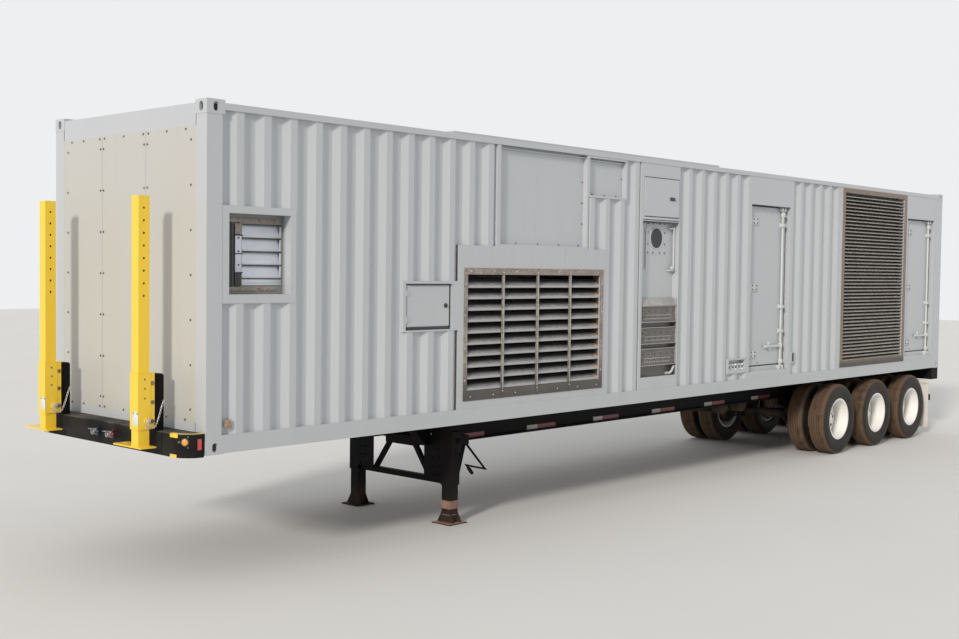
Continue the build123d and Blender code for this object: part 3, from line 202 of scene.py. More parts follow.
def weathering():
    """Paint or metal with patchy fading, rain streaks and dust that thickens downwards."""
    tree, given, out = shader_group("Weathering", [
        ("Base", "Color", (0.5, 0.5, 0.5, 1)), ("Dust", "Color", (0.2, 0.15, 0.1, 1)),
        ("Dust amount", "Float", 0.1), ("Dust low", "Float", 1.0), ("Dust high", "Float", 2.0),
        ("Streaks", "Float", 0.1), ("Fading", "Float", 0.1), ("Grain scale", "Float", 180.0),
        ("Gloss", "Float", 0.4),
    ], [("Colour", "Color"), ("Roughness", "Float"), ("Height", "Float")])
    patches = noise(tree, 0.9, 4.0)
    fade = math_node(tree, "MULTIPLY", ramp(tree, patches, 0.35, 0.7), given["Fading"])
    faded = mixed(tree, fade, given["Base"], (0.80, 0.80, 0.78, 1), "MULTIPLY")
    runs = ramp(tree, noise(tree, 5.0, 5.0, (3.5, 3.5, 0.16)), 0.52, 0.74)
    streak = math_node(tree, "MULTIPLY", runs, given["Streaks"])
    streaked = mixed(tree, streak, faded, given["Dust"])
    height = add_node(tree, "ShaderNodeSeparateXYZ", {
        0: add_node(tree, "ShaderNodeTexCoord").outputs["Object"]}).outputs[2]
    low = ramp(tree, height, given["Dust low"], given["Dust high"], 1.0, 0.12)
    mottle = ramp(tree, noise(tree, 3.2, 6.0), 0.3, 0.72)
    dusty = math_node(tree, "MULTIPLY", math_node(tree, "MULTIPLY", low, mottle),
                      given["Dust amount"])
    tree.links.new(mixed(tree, dusty, streaked, given["Dust"]), out.inputs["Colour"])
    rough = math_node(tree, "ADD", given["Gloss"], math_node(tree, "MULTIPLY", dusty, 0.5))
    tree.links.new(rough, out.inputs["Roughness"])
    grain = add_node(tree, "ShaderNodeTexNoise", {
        "Vector": add_node(tree, "ShaderNodeTexCoord").outputs["Object"],
        "Scale": given["Grain scale"], "Detail": 2.0})
    tree.links.new(grain.outputs[0], out.inputs["Height"])
    return tree


def wear_spots():
    """Patches where another colour shows, such as rust, chips or stains."""
    tree, given, out = shader_group("Wear spots", [
        ("Base", "Color", (0.5, 0.5, 0.5, 1)), ("Worn", "Color", (0.3, 0.12, 0.05, 1)),
        ("Amount", "Float", 0.2), ("Scale", "Float", 14.0),
    ], [("Colour", "Color"), ("Mask", "Float")])
    place = add_node(tree, "ShaderNodeTexCoord").outputs["Object"]
    spots = add_node(tree, "ShaderNodeTexNoise", {
        "Vector": place, "Scale": given["Scale"], "Detail": 6.0, "Roughness": 0.7})
    edge = math_node(tree, "SUBTRACT", 0.86, math_node(tree, "MULTIPLY", given["Amount"], 0.5))
    end = math_node(tree, "ADD", edge, 0.06)
    mask = ramp(tree, spots.outputs[0], edge, end)
    tree.links.new(mixed(tree, mask, given["Base"], given["Worn"]), out.inputs["Colour"])
    tree.links.new(mask, out.inputs["Mask"])
    return tree


def spangle():
    """Galvanised sheet: crystals of slightly different brightness, stained in long patches."""
    tree, given, out = shader_group("Spangle", [
        ("Metal", "Color", (0.5, 0.48, 0.45, 1)), ("Stain", "Color", (0.25, 0.17, 0.12, 1)),
        ("Stain amount", "Float", 0.4), ("Crystal scale", "Float", 45.0),
    ], [("Colour", "Color"), ("Roughness", "Float"), ("Height", "Float")])
    place = add_node(tree, "ShaderNodeTexCoord").outputs["Object"]
    crystals = add_node(tree, "ShaderNodeTexVoronoi", {
        "Vector": place, "Scale": given["Crystal scale"]})
    shade = add_node(tree, "ShaderNodeSeparateColor", {0: crystals.outputs["Color"]}).outputs[0]
    light = mixed(tree, math_node(tree, "MULTIPLY", shade, 0.22), given["Metal"], (1, 1, 1, 1))
    stain = math_node(tree, "MULTIPLY", ramp(tree, noise(tree, 2.4, 5.0, (0.7, 0.7, 1.6)),
                                             0.35, 0.68), given["Stain amount"])
    tree.links.new(mixed(tree, stain, light, given["Stain"]), out.inputs["Colour"])
    tree.links.new(ramp(tree, shade, 0.0, 1.0, 0.34, 0.58), out.inputs["Roughness"])
    tree.links.new(shade, out.inputs["Height"])
    return tree


GROUPS = {}


def placed(tree, name, inputs):
    """The named group in a material, with the material's own values."""
    makers = {"Weathering": weathering, "Wear spots": wear_spots, "Spangle": spangle}
    if name not in GROUPS:
        GROUPS[name] = makers[name]()
    return add_node(tree, "ShaderNodeGroup", inputs, node_tree=GROUPS[name]).outputs


def rgba(colour):
    return (*colour[:3], 1.0)


def new_material(name):
    material = bpy.data.materials.new(name)
    material.use_nodes = True
    tree = material.node_tree
    return material, tree, tree.nodes["Principled BSDF"]


def bumped(tree, shader, height, strength, distance):
    bump = add_node(tree, "ShaderNodeBump", {"Height": height, "Strength": strength,
                                             "Distance": distance})
    tree.links.new(bump.outputs[0], shader.inputs["Normal"])


def behind_side(tree):
    """Object coordinates and the depth behind the container's side faces."""
    place = add_node(tree, "ShaderNodeSeparateXYZ", {
        0: add_node(tree, "ShaderNodeTexCoord").outputs["Object"]}).outputs
    return place, math_node(tree, "SUBTRACT", WIDTH / 2, math_node(tree, "ABSOLUTE", place[1]))


def paint(name, colour, dust, amount=0.1, low=1.0, high=2.0, streaks=0.06, fading=0.1,
          gloss=0.36, grain=180.0, rust=0.0, coat=0.15, bump=0.12, shine=0.5, recess_shade=None):
    """The recess setting gives depths between which the paint turns darker, as painted shade in
    recesses with some dirt, the height up to which, and a colour.
    """
    material, tree, shader = new_material(name)
    weather = placed(tree, "Weathering", {
        "Base": rgba(colour), "Dust": rgba(dust), "Dust amount": amount, "Dust low": low,
        "Dust high": high, "Streaks": streaks, "Fading": fading, "Gloss": gloss,
        "Grain scale": grain})
    surface = weather["Colour"]
    if rust:
        surface = placed(tree, "Wear spots", {
            "Base": surface, "Worn": (0.19, 0.065, 0.022, 1), "Amount": rust})["Colour"]
    # painted shade: the paint darkens deeper behind the side face and below the given height, with
    # some dirt
    if recess_shade:
        start, end, height, darkening = recess_shade
        place, depth = behind_side(tree)
        cover = math_node(tree, "MULTIPLY", ramp(tree, depth, start, end),
                          ramp(tree, place[2], height, height + 0.06, 0.92, 0.0))
        surface = mixed(tree, cover, surface, rgba(darkening))
    tree.links.new(surface, shader.inputs["Base Color"])
    tree.links.new(weather["Roughness"], shader.inputs["Roughness"])
    shader.inputs["Specular IOR Level"].default_value = shine
    shader.inputs["Coat Weight"].default_value = coat
    shader.inputs["Coat Roughness"].default_value = 0.25
    bumped(tree, shader, weather["Height"], bump, 0.002)
    return material


def bare_metal(name, colour, stain, amount=0.4, scale=45.0, metallic=0.75, skin=None, deep_shade=None,
               foot=None, end=None):
    """Bare sheet. skin: a depth and the colour up to it, on the intake a painted highlight on the
    front lips; deep shade: depths between which it turns dark, a painted shade between the
    slats; foot: heights between which it turns darker towards the bottom; end: where a painted
    warm highlight of sunlight on the blade ends starts in x."""
    material, tree, shader = new_material(name)
    sheet = placed(tree, "Spangle", {"Metal": rgba(colour), "Stain": rgba(stain),
                                     "Stain amount": amount, "Crystal scale": scale})
    surface = sheet["Colour"]
    place, depth = behind_side(tree)
    # painted highlight: a warm tone of sunlight on the blade ends, from the given x onwards
    if end:
        surface = mixed(tree, ramp(tree, place[0], *end, 0.0, 0.8), surface, (0.80, 0.48, 0.27, 1))
    # lips in front of the given depth take the given colour; on the intake blades a painted
    # highlight
    if skin:
        surface = mixed(tree, ramp(tree, depth, skin[0], skin[0] + 0.001), rgba(skin[1]), surface)
    # darker towards the bottom, up to the given heights
    if foot:
        surface = mixed(tree, ramp(tree, place[2], *foot, 0.85, 0.0), surface,
                        (0.055, 0.053, 0.051, 1))
    # painted shade: the sheet turns dark deeper behind the side face, between the slats
    if deep_shade:
        surface = mixed(tree, ramp(tree, depth, *deep_shade, 0.0, 0.94), surface,
                        (0.012, 0.011, 0.010, 1))
    tree.links.new(surface, shader.inputs["Base Color"])
    tree.links.new(sheet["Roughness"], shader.inputs["Roughness"])
    shader.inputs["Metallic"].default_value = metallic
    bumped(tree, shader, sheet["Height"], 0.12, 0.0015)
    return material


def tyre_rubber(name, dust):
    """The tread attribute is 1 on the tread and 0 on the sidewalls."""
    material, tree, shader = new_material(name)
    tread = add_node(tree, "ShaderNodeAttribute", attribute_name="tread").outputs["Fac"]
    patch = ramp(tree, noise(tree, 9.0, 6.0), 0.25, 0.6)
    film = ramp(tree, noise(tree, 5.0, 6.0), 0.35, 0.75, 0.03, 0.16)
    cover = math_node(tree, "MULTIPLY", tread, math_node(tree, "ADD", patch, 0.35))
    amount = math_node(tree, "MAXIMUM", math_node(tree, "MULTIPLY", cover, 0.82), film)
    tree.links.new(mixed(tree, amount, (0.012, 0.0115, 0.0105, 1), rgba(dust)),
                   shader.inputs["Base Color"])
    shader.inputs["Specular IOR Level"].default_value = 0.3
    tree.links.new(ramp(tree, amount, 0.0, 1.0, 0.55, 0.92), shader.inputs["Roughness"])
    bumped(tree, shader, noise(tree, 260.0, 3.0), 0.25, 0.0012)
    return material


def lens(name, colour):
    material, tree, shader = new_material(name)
    ribs = add_node(tree, "ShaderNodeTexWave", {
        "Vector": add_node(tree, "ShaderNodeTexCoord").outputs["Object"], "Scale": 60.0,
        "Distortion": 0.4}, bands_direction="Z")
    darkening = ramp(tree, noise(tree, 30.0, 4.0), 0.4, 0.8, 0.0, 0.3)
    tree.links.new(mixed(tree, darkening, rgba(colour), (0.25, 0.17, 0.11, 1)),
                   shader.inputs["Base Color"])
    shader.inputs["Roughness"].default_value = 0.2
    shader.inputs["Coat Weight"].default_value = 0.6
    bumped(tree, shader, ribs.outputs[0], 0.25, 0.001)
    return material


def deck(name):
    material, tree, shader = new_material(name)
    boards = add_node(tree, "ShaderNodeTexBrick", {
        "Vector": add_node(tree, "ShaderNodeTexCoord").outputs["Object"],
        "Color1": (0.16, 0.10, 0.06, 1), "Color2": (0.22, 0.145, 0.09, 1),
        "Mortar": (0.02, 0.015, 0.01, 1), "Scale": 1.0, "Mortar Size": 0.003,
        "Brick Width": 2.4, "Row Height": 0.14})
    grain = noise(tree, 6.0, 8.0, (0.5, 12.0, 12.0))
    tree.links.new(mixed(tree, ramp(tree, grain, 0.3, 0.8, 0.0, 0.5), boards.outputs[0],
                         (0.07, 0.045, 0.03, 1)), shader.inputs["Base Color"])
    shader.inputs["Roughness"].default_value = 0.7
    bumped(tree, shader, grain, 0.3, 0.002)
    return material


MATERIALS = {}


def build_materials(colours):
    dust = colours.dust
    dark = (0.03, 0.03, 0.032)
    made = MATERIALS
    made["enclosure"] = paint("Enclosure_paint", colours.enclosure, dust, 0.06, 1.0, 1.9, 0.03,
                              0.10, 0.34)
    made["end_wall"] = paint("End_wall_paint", colours.end_wall, dust, 0.05, 1.1, 1.8, 0.035, 0.06,
                             0.38)
    made["chassis"] = paint("Chassis_paint", colours.chassis, dust, 0.10, 0.2, 1.0, 0.03, 0.0,
                            0.5, 120.0, 0.02, 0.0, 0.2, 0.06)
    made["running_gear"] = paint("Running_gear_paint", (0.014, 0.013, 0.012), dust, 0.45, 0.3,
                                 1.2, 0.2, 0.0, 0.6, 90.0, 0.3, 0.0, 0.4, 0.1)
    made["landing_gear"] = paint("Landing_gear_paint", colours.chassis, dust, 0.22, 0.02, 0.4,
                                 0.03, 0.0, 0.55, 110.0, 0.10, 0.0, 0.3, 0.06)
    # light dust on the top face, partly real dust and partly a painted highlight of the lit top
    made["bolster"] = paint("Bolster_paint", colours.chassis, (0.26, 0.24, 0.20), 0.55, 1.288,
                            1.270, 0.02, 0.0, 0.45, 120.0, 0.02, 0.0, 0.2, 0.06)
    # painted shade in the recesses of these three, and in the housing's cable recess also dirt
    for name, recess_shade in (("housing", (0.02, 0.03, 2.20, (0.12, 0.108, 0.095))),
                         ("shutter_frame", (0.06, 0.15, 9.0, (0.14, 0.145, 0.135))),
                         ("surround", (0.009, 0.03, 9.0, (0.06, 0.045, 0.035)))):
        made[name] = paint(f"{name.capitalize()}_paint", colours.enclosure, dust, recess_shade=recess_shade)
    made["yellow"] = paint("Leg_paint", colours.legs, (0.35, 0.25, 0.12), 0.10, 1.0, 2.0, 0.06,
                           0.10, 0.33, 160.0, 0.03, 0.3)
    made["rim"] = paint("Rim_paint", colours.rims, dust, 0.16, 0.1, 0.8, 0.04, 0.0, 0.4, 140.0,
                        0.05, 0.15)
    made["flap"] = paint("Flap_rubber", (0.76, 0.73, 0.68), dust, 0.30, 0.1, 0.7, 0.2, 0.0, 0.75,
                         90.0, 0.30, 0.0, 0.35)
    # radiator louvres: painted shade deep between the slats
    made["louvre"] = bare_metal("Louvre_sheet", (0.37, 0.335, 0.285), (0.25, 0.21, 0.17), 0.3,
                                45.0, 0.15, skin=(0.0065, (0.235, 0.175, 0.13)),
                                deep_shade=(0.010, 0.046), foot=(1.30, 1.40))
    # intake blades: painted highlight on the front lips and the sunlit ends, painted shade deep
    # between the blades
    made["intake"] = bare_metal("Intake_sheet", (0.27, 0.27, 0.28), (0.20, 0.19, 0.185), 0.3, 45.0,
                                0.15, skin=(0.0165, (0.42, 0.42, 0.42)), deep_shade=(0.017, 0.070),
                                end=(-1.972, -1.905))
    made["intake_frame"] = bare_metal("Intake_frame_sheet", (0.245, 0.195, 0.155),
                                      (0.16, 0.12, 0.095), 0.5, 45.0, 0.15, foot=(1.35, 1.75))
    made["intake_lip"] = bare_metal("Intake_lip_sheet", (0.32, 0.32, 0.31), (0.21, 0.20, 0.19),
                                    0.3, 45.0, 0.15)
    made["socket_sheet"] = bare_metal("Socket_sheet", (0.050, 0.039, 0.030),
                                      (0.034, 0.026, 0.020), 0.2, 150.0, 0.05)
    made["blade"] = bare_metal("Shutter_sheet", (0.58, 0.61, 0.67), (0.43, 0.44, 0.47), 0.3, 30.0)
    made["steel"] = bare_metal("Bright_steel", (0.70, 0.70, 0.70), (0.40, 0.37, 0.33), 0.3, 120.0,
                               0.85)
    made["bolt"] = bare_metal("Bolt_steel", (0.16, 0.15, 0.145), (0.10, 0.07, 0.05), 0.5, 200.0)
    made["rusty_bolt"] = bare_metal("Rusted_steel", (0.22, 0.11, 0.05), (0.12, 0.05, 0.02), 0.6,
                                    200.0, 0.4)
    made["lock"] = paint("Lock_paint", (0.59, 0.61, 0.61), dust, 0.1, 1.2, 2.0, 0.12, 0.1, 0.3,
                         220.0, 0.06, 0.2)
    made["plate"] = paint("Blank_plate", (0.66, 0.72, 0.76), dust, 0.1, 1.0, 1.6, 0.1, 0.1, 0.3)
    made["black"] = paint("Black_plastic", dark, dust, 0.15, 1.0, 2.0, 0.1, 0.0, 0.45, 300.0)
    made["rust_band"] = bare_metal("Rust_band", (0.22, 0.078, 0.028), (0.10, 0.04, 0.018), 0.6,
                                   160.0, 0.0)
    made["copper"] = bare_metal("Ground_lug", (0.42, 0.25, 0.14), (0.2, 0.1, 0.05), 0.5, 150.0)
    made["amber"] = lens("Amber_lens", (0.95, 0.33, 0.02))
    made["red"] = lens("Red_lens", (0.62, 0.03, 0.02))
    # the tape colours are darkened well below those of real tape, as painted shade for tape in the
    # shade under the container
    made["tape_red"] = paint("Red_tape", (0.17, 0.010, 0.016), dust, 0.3, 0.6, 1.3, 0.2, 0.0, 0.3)
    made["tape_white"] = paint("White_tape", (0.42, 0.41, 0.39), dust, 0.3, 0.6, 1.3, 0.2, 0.0,
                               0.3)
    made["blue"] = paint("Blue_paint", (0.012, 0.022, 0.065), dust, 0.3, 0.8, 1.4)
    made["red_paint"] = paint("Red_paint", (0.13, 0.008, 0.012), dust, 0.3, 0.8, 1.4)
    made["tyre"] = tyre_rubber("Tyre_rubber", (0.14, 0.088, 0.052))
    made["deck"] = deck("Deck_boards")
    return made


SLOT_MATERIALS = {
    "grey_paint": "enclosure", "wall_paint": "end_wall", "deck_wood": "deck", "zinc": "louvre",
    "black_paint": "chassis", "yellow_paint": "yellow", "flap_rubber": "flap",
    "tyre_rubber": "tyre", "white_rim": "rim",
}
NODE_MATERIALS = {
    "connection_housing": "housing", "shutter_frame": "shutter_frame",
    "intake_surround": "surround", "front_bolster": "bolster", "cable_boxes": "socket_sheet",
    "intake_frame": "intake_frame", "intake_blades": "intake", "shutter_blades": "blade",
    "port_cover": "enclosure", "front_lock_rod": "lock",
    "rear_lock_rod": "lock", "axles": "running_gear", "suspension": "running_gear",
    "landing_gear_tubes": "landing_gear", "landing_bracing": "landing_gear",
    "near_landing_leg": "landing_gear", "far_landing_leg": "landing_gear",
}


# Geometry Nodes
def geometry_tree(name, inputs):
    tree = bpy.data.node_groups.new(name, "GeometryNodeTree")
    tree.interface.new_socket("Geometry", in_out="INPUT", socket_type="NodeSocketGeometry")
    for label, kind, default in inputs:
        socket = tree.interface.new_socket(label, in_out="INPUT", socket_type="NodeSocket" + kind)
        if default is not None:
            socket.default_value = default
    tree.interface.new_socket("Geometry", in_out="OUTPUT", socket_type="NodeSocketGeometry")
    return tree, tree.nodes.new("NodeGroupInput").outputs, tree.nodes.new("NodeGroupOutput")


def finish_tree(tree, geometry, material, out):
    real = add_node(tree, "GeometryNodeRealizeInstances", {0: geometry})
    painted = add_node(tree, "GeometryNodeSetMaterial", {"Geometry": real.outputs[0],
                                                         "Material": material})
    tree.links.new(painted.outputs[0], out.inputs[0])
    return tree


def pointed(tree, points, instance):
    """Instances on points, their Z along the facing attribute."""
    facing = add_node(tree, "GeometryNodeInputNamedAttribute", {"Name": "facing"},
                      data_type="FLOAT_VECTOR").outputs["Attribute"]
    aim = add_node(tree, "FunctionNodeAlignRotationToVector", {"Vector": facing}, axis="Z")
    inputs = {"Points": points, "Instance": instance, "Rotation": aim.outputs[0]}
    return add_node(tree, "GeometryNodeInstanceOnPoints", inputs).outputs[0]


def fastener_tree():
    """A many-sided head on a round washer at each point, along the point's facing attribute."""
    tree, given, out = geometry_tree("Fasteners", [
        ("Radius", "Float", 0.01), ("Height", "Float", 0.006), ("Sides", "Int", 6),
        ("Washer", "Float", 1.5), ("Material", "Material", None)])
    head = add_node(tree, "GeometryNodeMeshCone", {
        "Vertices": given["Sides"], "Radius Bottom": given["Radius"],
        "Radius Top": math_node(tree, "MULTIPLY", given["Radius"], 0.84),
        "Depth": given["Height"]})
    width = math_node(tree, "MULTIPLY", given["Radius"], given["Washer"])
    washer = add_node(tree, "GeometryNodeMeshCone", {
        "Vertices": 12, "Radius Bottom": width,
        "Radius Top": math_node(tree, "MULTIPLY", width, 0.92),
        "Depth": math_node(tree, "MULTIPLY", given["Height"], 0.3)})
    both = add_node(tree, "GeometryNodeJoinGeometry")
    tree.links.new(washer.outputs[0], both.inputs[0])
    tree.links.new(head.outputs[0], both.inputs[0])
    studs = pointed(tree, given["Geometry"], both.outputs[0])
    return finish_tree(tree, studs, given["Material"], out)


def mesh_tree():
    """Round woven wires across a circle at the origin, facing Z."""
    tree, given, out = geometry_tree("Wire mesh", [
        ("Radius", "Float", 0.12), ("Count", "Int", 22), ("Wire", "Float", 0.0016),
        ("Material", "Material", None)])
    size = math_node(tree, "MULTIPLY", given["Radius"], 2.0)
    sheet = add_node(tree, "GeometryNodeMeshGrid", {
        "Size X": size, "Size Y": size, "Vertices X": given["Count"],
        "Vertices Y": given["Count"]})
    place = add_node(tree, "GeometryNodeInputPosition").outputs[0]
    reach = add_node(tree, "ShaderNodeVectorMath", {0: place}, operation="LENGTH").outputs[1]
    outside = add_node(tree, "FunctionNodeCompare", {0: reach, 1: given["Radius"]},
                       data_type="FLOAT", operation="GREATER_THAN")
    kept = add_node(tree, "GeometryNodeDeleteGeometry", {
        "Geometry": sheet.outputs[0], "Selection": outside.outputs[0]})
    lines = add_node(tree, "GeometryNodeMeshToCurve", {0: kept.outputs[0]})
    ring = add_node(tree, "GeometryNodeCurvePrimitiveCircle", {
        "Resolution": 5, "Radius": given["Wire"]})
    wires = add_node(tree, "GeometryNodeCurveToMesh", {
        "Curve": lines.outputs[0], "Profile Curve": ring.outputs[0]})
    return finish_tree(tree, wires.outputs[0], given["Material"], out)


def chain_tree():
    """Oval links along a curve, each a quarter turn from the one before."""
    tree, given, out = geometry_tree("Chain", [
        ("Pitch", "Float", 0.02), ("Link", "Float", 0.015), ("Wire", "Float", 0.002),
        ("Material", "Material", None)])
    ring = add_node(tree, "GeometryNodeCurvePrimitiveCircle", {
        "Resolution": 12, "Radius": given["Link"]})
    oval = add_node(tree, "GeometryNodeTransform", {"Geometry": ring.outputs[0],
                                                    "Scale": (0.6, 1.0, 1.0)})
    wire = add_node(tree, "GeometryNodeCurvePrimitiveCircle", {
        "Resolution": 6, "Radius": given["Wire"]})
    link = add_node(tree, "GeometryNodeCurveToMesh", {
        "Curve": oval.outputs[0], "Profile Curve": wire.outputs[0]})
    line = add_node(tree, "GeometryNodeCurveToPoints", {
        "Curve": given["Geometry"], "Length": given["Pitch"]}, mode="LENGTH")
    aim = add_node(tree, "FunctionNodeAlignRotationToVector", {
        "Vector": line.outputs["Tangent"]}, axis="Y")
    odd = math_node(tree, "MODULO", add_node(tree, "GeometryNodeInputIndex").outputs[0], 2.0)
    turn = add_node(tree, "ShaderNodeCombineXYZ", {
        1: math_node(tree, "MULTIPLY", odd, math.pi / 2)})
    turned = add_node(tree, "FunctionNodeRotateRotation", {
        "Rotation": aim.outputs[0], "Rotate By": turn.outputs[0]}, rotation_space="LOCAL")
    links = add_node(tree, "GeometryNodeInstanceOnPoints", {
        "Points": line.outputs["Points"], "Instance": link.outputs[0],
        "Rotation": turned.outputs[0]})
    return finish_tree(tree, links.outputs[0], given["Material"], out)


def tape_tree():
    """A thin strip of tape at each point, its length along the row's X and its face along Y."""
    tree, given, out = geometry_tree("Tape strips", [
        ("Length", "Float", 0.25), ("Height", "Float", 0.05), ("Thickness", "Float", 0.0008),
        ("Material", "Material", None)])
    size = add_node(tree, "ShaderNodeCombineXYZ", {
        0: given["Length"], 1: given["Thickness"], 2: given["Height"]})
    strip = add_node(tree, "GeometryNodeMeshCube", {"Size": size.outputs[0]})
    strips = add_node(tree, "GeometryNodeInstanceOnPoints", {
        "Points": given["Geometry"], "Instance": strip.outputs[0]})
    return finish_tree(tree, strips.outputs[0], given["Material"], out)


TREES = {}


def tree_named(name):
    makers = {"Fasteners": fastener_tree, "Wire mesh": mesh_tree, "Chain": chain_tree,
              "Tape strips": tape_tree}
    if name not in TREES:
        TREES[name] = makers[name]()
    return TREES[name]


def set_input(modifier, tree, label, value):
    for item in tree.interface.items_tree:
        if item.item_type == "SOCKET" and item.in_out == "INPUT" and item.name == label:
            modifier[item.identifier] = value
            return
    raise KeyError(label)


def grow(name, source, tree_name, settings, material, body, place=None):
    """Runs a tree on a source mesh or curve and keeps the result as a plain mesh on one body."""
    holder = bpy.data.objects.new(name + "_source", source)
    bpy.context.scene.collection.objects.link(holder)
    tree = tree_named(tree_name)
    modifier = holder.modifiers.new("Grow", "NODES")
    modifier.node_group = tree
    for label, value in {**settings, "Material": MATERIALS[material]}.items():
        set_input(modifier, tree, label, value)
    evaluated = holder.evaluated_get(bpy.context.evaluated_depsgraph_get())
    mesh = bpy.data.meshes.new_from_object(evaluated)
    if not len(mesh.polygons):
        raise RuntimeError(f"{name} came out empty")
    bpy.data.objects.remove(holder)
    if place is not None:
        mesh.transform(place)
    mesh.name = name
    mesh.materials.clear()
    return keep(name, mesh, material, body)


def keep(name, mesh, material, body=ROOT, smooth=32):
    """Makes a mesh a piece of the model: its material, shading and body."""
    mesh.materials.append(MATERIALS[material])
    for polygon in mesh.polygons:
        polygon.use_smooth = True
        polygon.material_index = 0
    mesh.set_sharp_from_angle(angle=math.radians(smooth))
    obj = bpy.data.objects.new(name, mesh)
    bpy.context.scene.collection.objects.link(obj)
    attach(obj, body)
    return obj


def points_mesh(places):
    mesh = bpy.data.meshes.new("Places")
    mesh.from_pydata([tuple(point) for point, _ in places], [], [])
    facing = mesh.attributes.new("facing", "FLOAT_VECTOR", "POINT")
    for index, (_, direction) in enumerate(places):
        facing.data[index].vector = direction
    return mesh


def fasteners(name, places, material, body, radius, height=None, sides=6, washer=1.5):
    """Heads on washers at (point, direction) places, as one piece."""
    settings = {"Radius": radius, "Height": height or radius * 0.8, "Sides": sides,
                "Washer": washer}
    return grow(name, points_mesh(places), "Fasteners", settings, material, body)


# Mesh building
def basis(direction):
    """Two directions square to the one given, and the direction itself."""
    along = Vector(direction).normalized()
    side = along.cross(UP if abs(along.z) < 0.9 else REARWARD).normalized()
    return side, side.cross(along), along


class Shape:
    """A mesh under construction, in the row frame."""

    def __init__(self):
        self.bm = bmesh.new()

    def block(self, low, high, bevel=0.0, steps=2):
        low, high = Vector(low), Vector(high)
        corners = bmesh.ops.create_cube(self.bm, size=1.0)["verts"]
        size = high - low
        for vert in corners:
            vert.co = low + Vector((vert.co[i] + 0.5) * size[i] for i in range(3))
        if bevel:
            edges = list({edge for vert in corners for edge in vert.link_edges})
            bmesh.ops.bevel(self.bm, geom=edges, offset=bevel, segments=steps, profile=0.5,
                            affect="EDGES")
        return self

    def around(self, centre, half, bevel=0.0):
        centre, half = Vector(centre), Vector(half)
        return self.block(centre - half, centre + half, bevel)

    def border(self, low, high, width, bevel):
        """Four strips just inside the edges of an upright rectangle."""
        low, high = Vector(low), Vector(high)
        for x0, x1, z0, z1 in (
                (low.x, high.x, low.z, low.z + width), (low.x, high.x, high.z - width, high.z),
                (low.x, low.x + width, low.z + width, high.z - width),
                (high.x - width, high.x, low.z + width, high.z - width)):
            self.block((x0, low.y, z0), (x1, high.y, z1), bevel, 1)
        return self

    def lathe(self, profile, origin, direction, steps=24):
        """profile: (radius, distance along direction) pairs; a zero radius closes the form."""
        side, other, along = basis(direction)
        rings = []
        for radius, distance in profile:
            centre = Vector(origin) + along * distance
            if radius < 1e-6:
                rings.append([self.bm.verts.new(centre)])
                continue
            ring = []
            for n in range(steps):
                angle = 2 * math.pi * n / steps
                ring.append(self.bm.verts.new(
                    centre + side * radius * math.cos(angle) + other * radius * math.sin(angle)))
            rings.append(ring)
        for first, second in zip(rings, rings[1:]):
            for n in range(steps):
                m = (n + 1) % steps
                if len(first) == 1 and len(second) == 1:
                    continue
                if len(first) == 1:
                    self.bm.faces.new((first[0], second[m], second[n]))
                elif len(second) == 1:
                    self.bm.faces.new((first[n], first[m], second[0]))
                else:
                    self.bm.faces.new((first[n], first[m], second[m], second[n]))
        return self

    def rod(self, start, end, radius):
        """A round bar with its end edges eased."""
        length = (Vector(end) - Vector(start)).length
        edge = radius * 0.15
        profile = [(0, 0), (radius - edge, 0), (radius, edge), (radius, length - edge),
                   (radius - edge, length), (0, length)]
        return self.lathe(profile, start, Vector(end) - Vector(start), ROD_STEPS)

    def pipe(self, points, radius, steps=12):
        """A round bar through the points, mitred at each corner."""
        points = [Vector(p) for p in points]
        rings = []
        side = basis(points[1] - points[0])[0]
        for n, point in enumerate(points):
            before = (point - points[n - 1]).normalized() if n else None
            after = (points[n + 1] - point).normalized() if n < len(points) - 1 else None
            along = ((before or after) + (after or before)).normalized()
            side = (side - along * side.dot(along)).normalized()
            other = along.cross(side)
            stretch = 1.0 if before is None or after is None else 1 / max(
                0.35, math.cos(before.angle(after) / 2))
            bend = (after - before) if before and after else None
            ring = []
            for k in range(steps):
                angle = 2 * math.pi * k / steps
                offset = (side * math.cos(angle) + other * math.sin(angle)) * radius
                if bend is not None and bend.length > 1e-6:
                    out = bend.normalized()
                    offset += out * offset.dot(out) * (stretch - 1)
                ring.append(self.bm.verts.new(point + offset))
            rings.append(ring)
        for first, second in zip(rings, rings[1:]):
            for k in range(steps):
                m = (k + 1) % steps
                self.bm.faces.new((first[k], first[m], second[m], second[k]))
        self.bm.faces.new(rings[0][::-1])
        self.bm.faces.new(rings[-1])
        return self

    def prism(self, outline, thickness, origin, right, up, bevel=0.0):
        """An outline in (right, up) distances, thickened along right x up."""
        right, up = Vector(right), Vector(up)
        out = right.cross(up)
        base = [self.bm.verts.new(Vector(origin) + right * u + up * v) for u, v in outline]
        face = self.bm.faces.new(base)
        made = bmesh.ops.extrude_face_region(self.bm, geom=[face])
        top = [v for v in made["geom"] if isinstance(v, bmesh.types.BMVert)]
        bmesh.ops.translate(self.bm, verts=top, vec=out * thickness)
        if bevel:
            edges = list({e for v in top + base for e in v.link_edges})
            bmesh.ops.bevel(self.bm, geom=edges, offset=bevel, segments=2, profile=0.5,
                            affect="EDGES")
        return self

    def mesh(self, name):
        bmesh.ops.recalc_face_normals(self.bm, faces=self.bm.faces)
        mesh = bpy.data.meshes.new(name)
        self.bm.to_mesh(mesh)
        self.bm.free()
        return mesh

    def piece(self, name, material, body=ROOT, slot=None, smooth=32):
        return keep(name, self.mesh(name), material, body, smooth)


